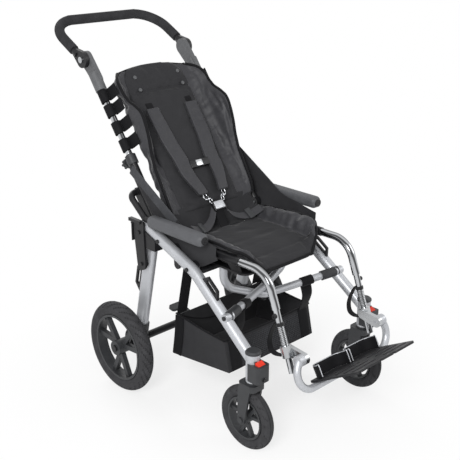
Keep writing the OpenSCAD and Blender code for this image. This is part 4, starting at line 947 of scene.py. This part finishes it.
class BUGGY_OT_back_cushion(bpy.types.Operator):
    """Back cushion: a padded panel with seams and snaps, and two puffed wings with thick binding"""

    bl_idname = "buggy.back_cushion"
    bl_label = "Back cushion"

    def execute(self, context):
        sizes = context.scene.buggy_sizes

        def panel(u, v, w):
            thin = 1 - 0.24 * abs(u) ** 6
            return back_form(u * (SEAM + 0.02), v, (w + 1) * thin - 1)

        piece = block_piece("back_cushion", 44, panel)

        def pinned(point):
            x, s, o = back_place(point)
            ends = s < PAD_FROM + 8 or s > PAD_FROM + PAD_LENGTH - 12
            seam = abs(x) > 122 or abs(s - HEAD_SEAM) < 4
            return 1.0 if o < PAD_OFF + 4 or ends or seam else 0.0

        puff(piece, sizes.voxel, sizes.swell, pinned, 0.04)

        def seams(point):
            x, s, o = back_place(point)
            front = 1 if o > PAD_OFF + 12 else 0
            level = groove(s - HEAD_SEAM, 5)
            crease = 2.6 * max(0, noise.noise(Vector((x * 0.014, s * 0.022, 1))))
            return front * (3.0 * level + crease) * MM

        self.finish(press(piece, seams), "cloth_grey")
        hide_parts("back_pad")
        edges = []
        for name, side in SIDES.items():
            self.wing(f"back_wing_{name}", side, sizes)
            tip = [back_form(side * 0.988, v, 0.1) for v in np.linspace(-0.98, 0.99, 40)]
            edges.append(tube("wing_edge", tip, sizes.binding, 120))
        top = [back_form(u, 0.99, 0.1) for u in np.linspace(-0.98, 0.98, 30)]
        edges.append(tube("top_edge", top, sizes.binding))
        binding = joined("back_binding", edges)
        dress(binding, "webbing_black", "back")
        studs = []
        for x, s in SNAPS:
            studs.append(button("snap", 6 * MM, 4 * MM, axes(on_back(x, s, 34.5), BACK_FORWARD)))
        snaps = joined("back_snaps", studs)
        dress(snaps, "sleeve", "back")
        return {"FINISHED"}

    def finish(self, piece, finish):
        """Keeps the piece inside the back's room and gives it its cloth."""
        for vertex in piece.data.vertices:
            x, s, o = back_place(vertex.co)
            x = math.copysign(min(abs(x), PAD_HALF - 0.2), x)
            vertex.co = on_back(x, s, max(o, PAD_OFF + 0.2))
        upholster(piece, finish, "back")

    def wing(self, name, side, sizes):
        """A puffed strip from the panel's seam round to the wing's bound tip."""

        def place(u, v, w):
            share = (u + 1) / 2
            thin = 1 - 0.3 * (1 - share) ** 4
            point = back_form(side * (SEAM - 0.02 + share * (1.02 - SEAM)), v, (w + 1) * thin - 1)
            x, s, o = back_place(point)
            flat = 1 - math.sin(math.pi * share) * math.sin(math.pi * (v + 1) / 2)
            return on_back(x - side * 6 * flat * (1 - w) / 2 * share, s, o)

        piece = block_piece(name, 34, place)

        def pinned(point):
            x, s, o = back_place(point)
            along = back_share(s)
            tip = o > wing_reach(s) - 6
            ends = along < 0.02 or along > 0.975
            return 1.0 if tip or ends or abs(x) < 130 or o < PAD_OFF + 3 else 0.0

        puff(piece, sizes.voxel, sizes.swell * 1.4, pinned, 0.03)

        def creases(point):
            x, s, o = back_place(point)
            folds = noise.noise(Vector((side * 4, s * 0.02 + o * 0.008, o * 0.012)))
            pucker = noise.noise(Vector((side * 7, s * 0.05 - o * 0.01, o * 0.01)))
            along = back_share(s)
            fade = within((wing_reach(s) - o) / 28) * min(1, along * 9, (1 - along) * 9)
            return fade * (13 * max(0, folds) + 5 * max(0, pucker)) * MM

        # The wing takes the lighter copy of the cloth: painted light
        self.finish(press(piece, creases), "painted_lit_cloth")


class BUGGY_OT_seat_bridge(bpy.types.Operator):
    """Cloth that closes the corner between the seat and the foot of the back"""

    bl_idname = "buggy.seat_bridge"
    bl_label = "Seat bridge"

    def execute(self, context):
        corner = [spot(0, 88, 527), spot(0, 112, 532), spot(0, 127, 556), on_back(0, 44, 27)]
        route = smooth_path(corner, 31)

        def place(u, v):
            point = along_path(route, v)
            side = abs(2 * u - 1)
            point.x = (2 * u - 1) * 172 * MM
            lift = max(0, side - 0.68) / 0.32
            point.z += 34 * MM * lift**1.5 * (1 - v)
            point += BACK_FORWARD * (1.6 * math.sin(u * 23 + v * 5) * math.sin(v * math.pi)) * MM
            return point

        cloth = grid_piece("seat_bridge", 60, 24, place)
        modify(cloth, "SOLIDIFY", thickness=2 * MM, offset=0)
        outward(cloth)
        smooth(cloth, 60)
        dress(cloth, "cloth_grey")
        on_back(0, 40, 27)
        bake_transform(cloth)
        return {"FINISHED"}


# Upper edge of the skirts, up the back and forward of it
SKIRT_UPPER = ((224, 9.7), (105, 60.4), (-14, 111), (-74, 164), (-133, 218))
# Lower edge, which lies along the side tube, in the drawing's y and z
SKIRT_LOWER = ((282, 729), (190, 568), (126, 534), (72, 512), (-20, 484), (-110, 530))


class BUGGY_OT_side_skirts(bpy.types.Operator):
    """Cloth skirts between the back and the seat, with a grey tape along the upper edge"""

    bl_idname = "buggy.side_skirts"
    bl_label = "Side skirts"

    def execute(self, context):
        high = smooth_path([on_back(0, s, o) for s, o in SKIRT_UPPER], 41)
        low = smooth_path([spot(0, y, z) for y, z in SKIRT_LOWER], 41)
        panels = []
        for name, side in SIDES.items():

            def place(u, v):
                point = along_path(low, v).lerp(along_path(high, v), u)
                tuck = 8.5 * max(0, 1 - u / 0.4) * math.sin(min(1, v * 4) * math.pi / 2)
                ripple = 0.4 * math.sin(v * 31 + u * 5) * math.sin(u * math.pi)
                point.x = side * (219.3 - tuck + ripple) * MM
                return point

            panel = grid_piece(f"side_skirt_{name}", 16, 60, place)
            modify(panel, "SOLIDIFY", thickness=0.8 * MM, offset=0)
            outward(panel)
            smooth(panel, 50)
            dress(panel, "cloth_grey")
            on_back(0, -18, 96)
            on_back(0, 150, 8)
            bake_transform(panel)
            panels.append(panel)
            edge = [on_back(side * 220.4, s, o - 17) for s, o in ((216, 13), (105, 60.4), (-6, 107.6))]
            tape = strap(f"skirt_tape_{name}", edge, BACK_FORWARD + BACK_UP * 0.43, 34 * MM, 1.4 * MM)
            dress(tape, "tape")
            on_back(0, -18, 96)
            on_back(0, 150, 8)
            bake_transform(tape)
        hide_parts("side_panels")
        for panel in panels:
            measure = cloth_area(panel)
        return {"FINISHED"}


class BUGGY_OT_back_straps(bpy.types.Operator):
    """Webbing loops that hold the back cushion to the masts"""

    bl_idname = "buggy.back_straps"
    bl_label = "Back straps"

    def execute(self, context):
        bands = []
        for side in SIDES.values():
            for s in (294, 354, 414, 464):
                turns = np.radians(np.linspace(130, -150, 18))
                ring = [(206 + 15.6 * math.cos(t), 15.6 * math.sin(t)) for t in turns]
                route = [(192.2, 56), (192.2, 34), *ring, (192.6, -6)]
                points = [on_back(side * x, s, o) for x, o in route]
                bands.append(strap("loop", points, BACK_UP, 40 * MM, 1.9 * MM, 70))
        loops = joined("back_loop_straps", bands)
        dress(loops, "webbing_black", "back")
        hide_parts("back_loops")
        return {"FINISHED"}


# The harness, across, up the back and forward of it: webbing, its upper end, and the pad's upper end
SHOULDER_ROUTE = [
    (43, 60, 52),
    (52, 95, 50),
    (63, 140, 45),
    (64, 195, 41),
    (74, 255, 39),
    (80, 345, 36.5),
    (82, 395, 36),
]
SHOULDER_END = [(82, 404, 34), (82, 411, 27)]
PAD_TOP = [(81, 382, 36)]
PAD_WIDTHS = (38, 46, 54, 56, 56, 54, 50)
# The lap belt from the seat's edge to the buckle, in the drawing's x, y and z
LAP_ROUTE = ((150, 64, 566), (118, 70, 553), (80, 78, 549), (44, 94, 562), (23.3, 107, 588))


class BUGGY_OT_harness(bpy.types.Operator):
    """Padded shoulder straps, chest clip, lap and crotch webbing and the centre buckle"""

    bl_idname = "buggy.harness"
    bl_label = "Harness"

    def execute(self, context):
        sizes = context.scene.buggy_sizes
        hooks = []
        for name, side in SIDES.items():
            points = [on_back(side * x, s, o) for x, s, o in SHOULDER_ROUTE + SHOULDER_END]
            webbing = strap(f"shoulder_webbing_{name}", points, X_WAY, 26 * MM, sizes.webbing, 60)
            dress(webbing, "webbing_black", "back")
            cover = [on_back(side * x, s, o + 4) for x, s, o in SHOULDER_ROUTE[:-1] + PAD_TOP]
            widths = [width * MM for width in PAD_WIDTHS]
            pad = strap(f"shoulder_pad_{name}", cover, X_WAY, widths, 13 * MM, 40, 6, True)
            press(pad, lambda point: 2.0 * MM * max(0, noise.noise(point * 45)))
            # The pad takes the lighter copy of the cloth: painted light
            dress(pad, "painted_lit_cloth", "back")
            if side < 0:
                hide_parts("shoulder_straps")
            hooks += self.hook(side)
            lap = [spot(side * x, y, z) for x, y, z in LAP_ROUTE]
            belt = strap(f"lap_belt_{name}", lap, Vector((0, 0.87, 0.5)), 28 * MM, sizes.webbing, 40)
            # The lap belt takes the lighter copy of the cloth, which is painted light
            dress(belt, "painted_lit_cloth")
            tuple(lap[2])
            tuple(lap[4])
            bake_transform(belt)
            if side < 0:
                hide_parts("seat_straps")
            tilt = axes(spot(side * 104, 71, 554), Vector((-0.3 * side, -0.5, 0.8)))
            slider = bevelled_box(f"lap_slider_{name}", (20 * MM, 40 * MM, 6 * MM), tilt, 2 * MM)
            dress(slider, "dark_plastic", "frame")
        dress(joined("harness_hooks", hooks), "chrome", "back")
        points = [spot(0, 80, 531.5), spot(0, 94, 555), spot(0, 107.5, 588)]
        crotch = strap("crotch_strap", points, X_WAY, 36 * MM, sizes.webbing, 20)
        dress(crotch, "webbing_black")
        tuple(points[0])
        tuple(points[2])
        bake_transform(crotch)
        lean = math.radians(50)
        tilt = axes(spot(0, 108, 598), Vector((0, -math.sin(lean), math.cos(lean))))
        body = bevelled_box("harness_buckle", (40 * MM, 27 * MM, 12 * MM), tilt, 2.5 * MM)
        dress(body, "frame_silver", "back")
        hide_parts("buckle")
        wings = []
        for side in SIDES.values():
            shift = tilt @ Matrix.Translation((side * 22 * MM, 0, -0.5 * MM))
            wings.append(bevelled_box("cheek", (7 * MM, 38 * MM, 11 * MM), shift, 3 * MM))
        dress(joined("buckle_cheeks", wings), "black_metal", "back")
        place = axes(on_back(0, 167, 53), BACK_FORWARD)
        clip = bevelled_box("chest_clip_body", (79 * MM, 25 * MM, 5 * MM), place, 2.2 * MM)
        dress(clip, "black_metal", "back")
        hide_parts("chest_clip")
        latch = []
        for shift, size in ((-3, (26, 22, 9)), (14, (12, 26, 8)), (-20, (8, 26, 8))):
            at = place @ Matrix.Translation((shift * MM, 0, 0))
            latch.append(bevelled_box("latch", [n * MM for n in size], at, 2.4 * MM))
        dress(latch[0], "bright_steel", "back")
        latch[0].name = "chest_clip_plate"
        dress(joined("chest_clip_prongs", latch[1:]), "black_metal", "back")
        return {"FINISHED"}

    def hook(self, side):
        """A ring at the pad's end and two links that lead to the buckle."""
        start = on_back(side * 42, 57, 54)
        end = spot(side * 21, 115, 610)
        parts = []
        stretch = Matrix.Diagonal((0.75, 1.25, 1, 1))
        for share, radius, turn in ((0.1, 9, 0), (0.45, 7, 90), (0.8, 7, 0)):
            spin = Matrix.Rotation(math.radians(turn), 4, "Y")
            place = axes(start.lerp(end, share), BACK_FORWARD) @ spin @ stretch
            parts.append(link("link", radius, 1.8, 10, place))
        return parts


class BUGGY_OT_grip(bpy.types.Operator):
    """Foam tube on the push handle"""

    bl_idname = "buggy.grip"
    bl_label = "Foam grip"

    def execute(self, context):
        bend, length, half, begin = 95, 209, 216.3, 53
        turns = np.radians(np.linspace(0, 90, 12))
        corner = [(half - bend + bend * math.cos(a), length - bend + bend * math.sin(a)) for a in turns]
        path = [(half, begin), (half, begin + 30), *corner]
        path += [(-x, t) for x, t in reversed(path)]
        grip = tube("foam_sleeve", [on_handle(x, t) for x, t in path], 16.4 * MM, 160, 10)
        dress(grip, "foam_black", "handle")
        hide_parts("foam_grip")
        return {"FINISHED"}


class BUGGY_OT_arm_pads(bpy.types.Operator):
    """Moulded pads on the armrests"""

    bl_idname = "buggy.arm_pads"
    bl_label = "Arm pads"

    def execute(self, context):
        for name in SIDES:
            low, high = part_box(f"armrest_pad_{name}")
            size = high - low
            middle = (low + high) / 2
            pad = bevelled_box(f"arm_pad_{name}", size, Matrix.Translation(middle), 15 * MM, 6)
            dress(pad, "arm_grey", f"armrest_{name}")
            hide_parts(f"armrest_pad_{name}")
            face = Vector((middle.x, low.y + 1.5 * MM, middle.z))
            plug = button(f"arm_plug_{name}", 12.5 * MM, 3.5 * MM, axes(face, Vector((0, -1, 0))))
            groove_place = axes(face - Vector((0, 2.6 * MM, 0)), Vector((0, -1, 0)))
            slot = bevelled_box("slot", (14 * MM, 2.4 * MM, 2 * MM), groove_place, 0.6 * MM)
            dress(joined(f"arm_plug_{name}", [plug, slot]), "black_metal", f"armrest_{name}")
        return {"FINISHED"}


# Tyres


def ring(name, radius, section, seat, segments, around, grooved, depth):
    """A tyre about the X axis at the origin, with grooves where grooved(step, lane) says."""
    fresh()
    centre = radius - section / 2
    bpy.ops.mesh.primitive_torus_add(
        major_segments=segments, minor_segments=around, major_radius=centre, minor_radius=section / 2
    )
    piece = named(name)
    piece.data.transform(Matrix.Rotation(math.radians(90), 4, "Y"))

    def tread(point, normal):
        turn = math.atan2(point.z, point.y)
        step = int(round(turn / (2 * math.pi) * segments - 0.5)) % segments
        out = math.hypot(point.y, point.z) - centre
        lane = int(math.floor(math.atan2(point.x, out) / (2 * math.pi) * around))
        return grooved(step, lane)

    choose(piece, tread)
    bpy.ops.mesh.inset(thickness=0.7 * MM, depth=-depth)
    bpy.ops.object.mode_set(mode="OBJECT")
    for vertex in piece.data.vertices:
        reach = math.hypot(vertex.co.y, vertex.co.z)
        if reach < seat:
            vertex.co.y *= seat / reach
            vertex.co.z *= seat / reach
    outward(piece)
    return smooth(piece, 35)


def chevron(step, lane):
    """Zigzag tread of the rear tyres."""
    across = lane if lane >= 0 else -1 - lane
    return across < 6 and (step + across) % 4 == 0


def curl(step, lane):
    """Curved shoulder grooves and two rings of the caster tyres."""
    across = lane if lane >= 0 else -1 - lane
    return across == 1 or (2 < across < 7 and (step + across // 2) % 5 == 0)


class BUGGY_OT_tyres(bpy.types.Operator):
    """Treaded tyres for the rear wheels and casters"""

    bl_idname = "buggy.tyres"
    bl_label = "Tyres"

    def execute(self, context):
        rear = ring("rear_tread", 151.4 * MM, 46 * MM, 111.6 * MM, 112, 32, chevron, 2.4 * MM)
        caster = ring("caster_tread", 99.9 * MM, 36 * MM, 67.1 * MM, 90, 32, curl, 1.8 * MM)
        for name in SIDES:
            for kind, source in (("rear", rear), ("caster", caster)):
                low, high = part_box(f"{kind}_tyre_{name}")
                made = copy_of(source, f"{kind}_treaded_tyre_{name}", Matrix.Translation((low + high) / 2))
                dress(made, "tyre_black", f"{kind}_wheel_{name}")
                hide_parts(f"{kind}_tyre_{name}")
        for source in (rear, caster):
            bpy.data.objects.remove(source)
        return {"FINISHED"}


# Basket

BASKET_HALF = 195.0
# Corners of the basket's side view, in the drawing's y and z
BASKET_SIDE = {
    "rear_low": (127, 130),
    "front_low": (-140, 162),
    "front_top": (-118, 262),
    "rear_top": (104, 281),
}


def fold_flat(piece):
    """Gives a piece of the basket its own mesh."""
    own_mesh(piece)


def basket_wall(y, z):
    """A place inside the basket's side view: y from rear to front and z from low to top, each -1 to 1."""
    front = (y + 1) / 2
    top = (z + 1) / 2
    corner = {name: np.array(place) for name, place in BASKET_SIDE.items()}
    low = corner["rear_low"] * (1 - front) + corner["front_low"] * front
    high = corner["rear_top"] * (1 - front) + corner["front_top"] * front
    return low * (1 - top) + high * top


class BUGGY_OT_basket(bpy.types.Operator):
    """Cloth basket with a scooped rear, a net front and webbing hangers"""

    bl_idname = "buggy.basket"
    bl_label = "Basket"

    def execute(self, context):
        def place(x, y, z):
            across = x * (BASKET_HALF - 3)
            along, height = basket_wall(y * 0.985, z)
            level = (z + 1) / 2
            middle_x = 1 - x * x
            middle_y = 1 - y * y
            # The floor sags, the walls bow and the rear edge is scooped
            height += 7 * middle_x * middle_y * (1 - level)
            height -= 4 * level * (middle_x if abs(y) > 0.98 else middle_y)
            if y < -0.98:
                height -= 62 * level**2 * middle_x
            across -= math.copysign(7 * middle_y * math.sin(level * math.pi), x) * abs(x) ** 4
            return spot(across, along, height)

        shell = block_piece("basket_shell", 24, place)
        choose(shell, lambda centre, normal: normal.z > 0.6 and centre.z > 0.19)
        bpy.ops.mesh.delete(type="FACE")
        bpy.ops.object.mode_set(mode="OBJECT")
        modify(shell, "SOLIDIFY", thickness=1.8 * MM, offset=-1)
        outward(shell)
        smooth(shell, 55)
        dress(shell, "cloth_grey", "frame")
        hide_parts("basket")
        fold_flat(shell)
        self.trim(place)
        straps = []
        for side in SIDES.values():
            points = [spot(side * 170, 102 - 38 * k, 276 + 179 * k) for k in (0, 0.5, 1)]
            straps.append(strap("hanger", points, X_WAY, 42 * MM, 2 * MM, 20))
            # The front strap loops over the brace
            way = Vector((1, -0.38 * side, 0.157 * side)).normalized()
            rise = (Vector((0, 0, 1)) - way * way.z).normalized()
            ahead = rise.cross(way)
            middle = spot(side * 140, -149.3, 376.5 - 5.1 * side)
            turns = np.radians(np.linspace(-20, 250, 14))
            loop = [middle + (ahead * math.cos(a) + rise * math.sin(a)) * 14.4 * MM for a in turns]
            points = [spot(side * 160, -120, 256), spot(side * 152, -144, 318), *loop]
            straps.append(strap("hanger", points, [X_WAY, X_WAY] + [way] * 14, 42 * MM, 2 * MM, 60))
        hangers = joined("basket_hangers", straps)
        dress(hangers, "webbing_black", "frame")
        return {"FINISHED"}

    def trim(self, place):
        """Bound rim all round, and a net on the front panel."""
        rim = [place(x, 1, 1) for x in np.linspace(-1, 1, 9)]
        rim += [place(1, y, 1) for y in np.linspace(0.9, -0.9, 9)]
        rim += [place(x, -1, 1) for x in np.linspace(1, -1, 13)]
        rim += [place(-1, y, 1) for y in np.linspace(-0.9, 1, 10)]
        edge = tube("basket_rim", rim, 3.2 * MM, 200)
        dress(edge, "webbing_black", "frame")
        strips = []
        for side in SIDES.values():
            front = [place(side * 0.82, 1, k) + Vector((0, -2.4 * MM, 0)) for k in (-0.97, 0, 0.97)]
            strips.append(strap("strip", front, X_WAY, 42 * MM, 2 * MM, 16))
            flank = [place(side, -0.84, k) + Vector((side * 2 * MM, 0, 0)) for k in (-0.97, 0, 0.97)]
            strips.append(strap("strip", flank, Vector((0, 1, 0)), 40 * MM, 2 * MM, 16))
        bands = joined("basket_strips", strips)
        dress(bands, "webbing_black", "frame")
        forward = Vector((0, -1.2 * MM, 0))
        net = grid_piece("basket_net", 46, 13, lambda u, v: place(1.8 * u - 0.9, 1, 1.6 * v - 0.8) + forward)
        modify(net, "WIREFRAME", thickness=1.5 * MM)
        dress(net, "tape", "frame")
        for piece in (edge, net, bands):
            fold_flat(piece)


# The slack calf strap, down the extension and behind it
CALF_ROUTE = ((36, 11), (54, 32), (85, 56), (114, 62), (130, 47), (135, 18))
# Distance of the footrest's extensions from the middle
EXTENSION_X = 180


class BUGGY_OT_foot_straps(bpy.types.Operator):
    """Heel loops on the footplate and slack calf straps on the extensions"""

    bl_idname = "buggy.foot_straps"
    bl_label = "Heel loops and calf straps"

    def execute(self, context):
        bands, trims = [], []
        for side in (-1, 1):
            middle, half, rear, front, corner = side * 68, 62, 6, 50, 36
            path = [(half, front)]
            for turn in np.radians(np.linspace(0, 90, 6)):
                inward, back = corner * math.cos(turn), corner * math.sin(turn)
                path.append((half - corner + inward, rear + corner - back))
            path += [(-x, y) for x, y in reversed(path)]
            points = [on_plate(middle + x, y, 19) for x, y in path]
            bands.append(strap("heel", points, PLATE_UP, 37 * MM, 3.4 * MM, 60))
            ends = [on_plate(middle + k * half, front, 3) for k in (1, -1)]
            top = [ends[0], *[on_plate(middle + x, y, 37.5) for x, y in path], ends[1]]
            trims.append(tube("heel_trim", top, 1.6 * MM, 70))
        loops = joined("heel_bands", bands)
        dress(loops, "webbing_black", "footplate")
        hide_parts("heel_loops")
        trim = joined("heel_trim", trims)
        dress(trim, "frame_silver", "footplate")
        calves, clamps, ridges = [], [], []
        for side in SIDES.values():
            points = [on_hanger(side * EXTENSION_X, along, off) for along, off in CALF_ROUTE]
            calves.append(strap("calf", points, X_WAY, 20 * MM, 2.2 * MM, 40))
            self.extension(side, clamps, ridges)
        dress(joined("extension_clamps", clamps), "black_metal", "footrest")
        dress(joined("extension_ridges", ridges), "chrome", "footrest")
        calf = joined("calf_strap_bands", calves)
        dress(calf, "webbing_black", "footrest")
        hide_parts("calf_straps")
        return {"FINISHED"}

    def extension(self, side, clamps, ridges):
        """The knob and collars on an extension, and its ridged length."""
        way = on_hanger(0, 1, 0) - on_hanger(0, 0, 0)
        out = axes(on_hanger(side * 188.5, 17, 0), X_WAY * side, Vector((0, 1, 0)))
        clamps.append(button("knob", 7 * MM, 9 * MM, out))
        for along in (38, 132):
            place = axes(on_hanger(side * EXTENSION_X, along, 0), way)
            clamps.append(button("collar", 12 * MM, 11 * MM, place))
        for along in range(48, 128, 5):
            place = axes(on_hanger(side * EXTENSION_X, along, 0), way)
            ridges.append(link("ridge", 9.5, 1.1, 8, place))


class BUGGY_PT_panel(bpy.types.Panel):
    """The buggy's steps"""

    bl_idname = "BUGGY_PT_panel"
    bl_label = "Special needs buggy"
    bl_space_type = "VIEW_3D"
    bl_region_type = "UI"
    bl_category = "Buggy"

    def draw(self, context):
        for step in STEPS:
            self.layout.operator(step.bl_idname)
        for group in (context.scene.buggy_colours, context.scene.buggy_sizes):
            for name in group.bl_rna.properties.keys():
                if name not in ("rna_type", "name"):
                    self.layout.prop(group, name)


STEPS = (
    BUGGY_OT_stage,
    BUGGY_OT_finishes,
    BUGGY_OT_seat_cushion,
    BUGGY_OT_back_cushion,
    BUGGY_OT_seat_bridge,
    BUGGY_OT_side_skirts,
    BUGGY_OT_back_straps,
    BUGGY_OT_harness,
    BUGGY_OT_grip,
    BUGGY_OT_arm_pads,
    BUGGY_OT_tyres,
    BUGGY_OT_basket,
    BUGGY_OT_foot_straps,
)
CLASSES = (BuggyColours, BuggySizes, *STEPS, BUGGY_PT_panel)


def register():
    for kind in CLASSES:
        bpy.utils.register_class(kind)
    bpy.types.Scene.buggy_colours = bpy.props.PointerProperty(type=BuggyColours)
    bpy.types.Scene.buggy_sizes = bpy.props.PointerProperty(type=BuggySizes)


def unregister():
    del bpy.types.Scene.buggy_colours
    del bpy.types.Scene.buggy_sizes
    for kind in reversed(CLASSES):
        bpy.utils.unregister_class(kind)


def main():
    register()
    for step in STEPS:
        group, name = step.bl_idname.split(".")
        getattr(getattr(bpy.ops, group), name)()
    boxes = {"cad": CAD_BOX, "visual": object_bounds()}
    {name: [list(corner) for corner in box] for name, box in boxes.items()}


if __name__ == "__main__":
    main()
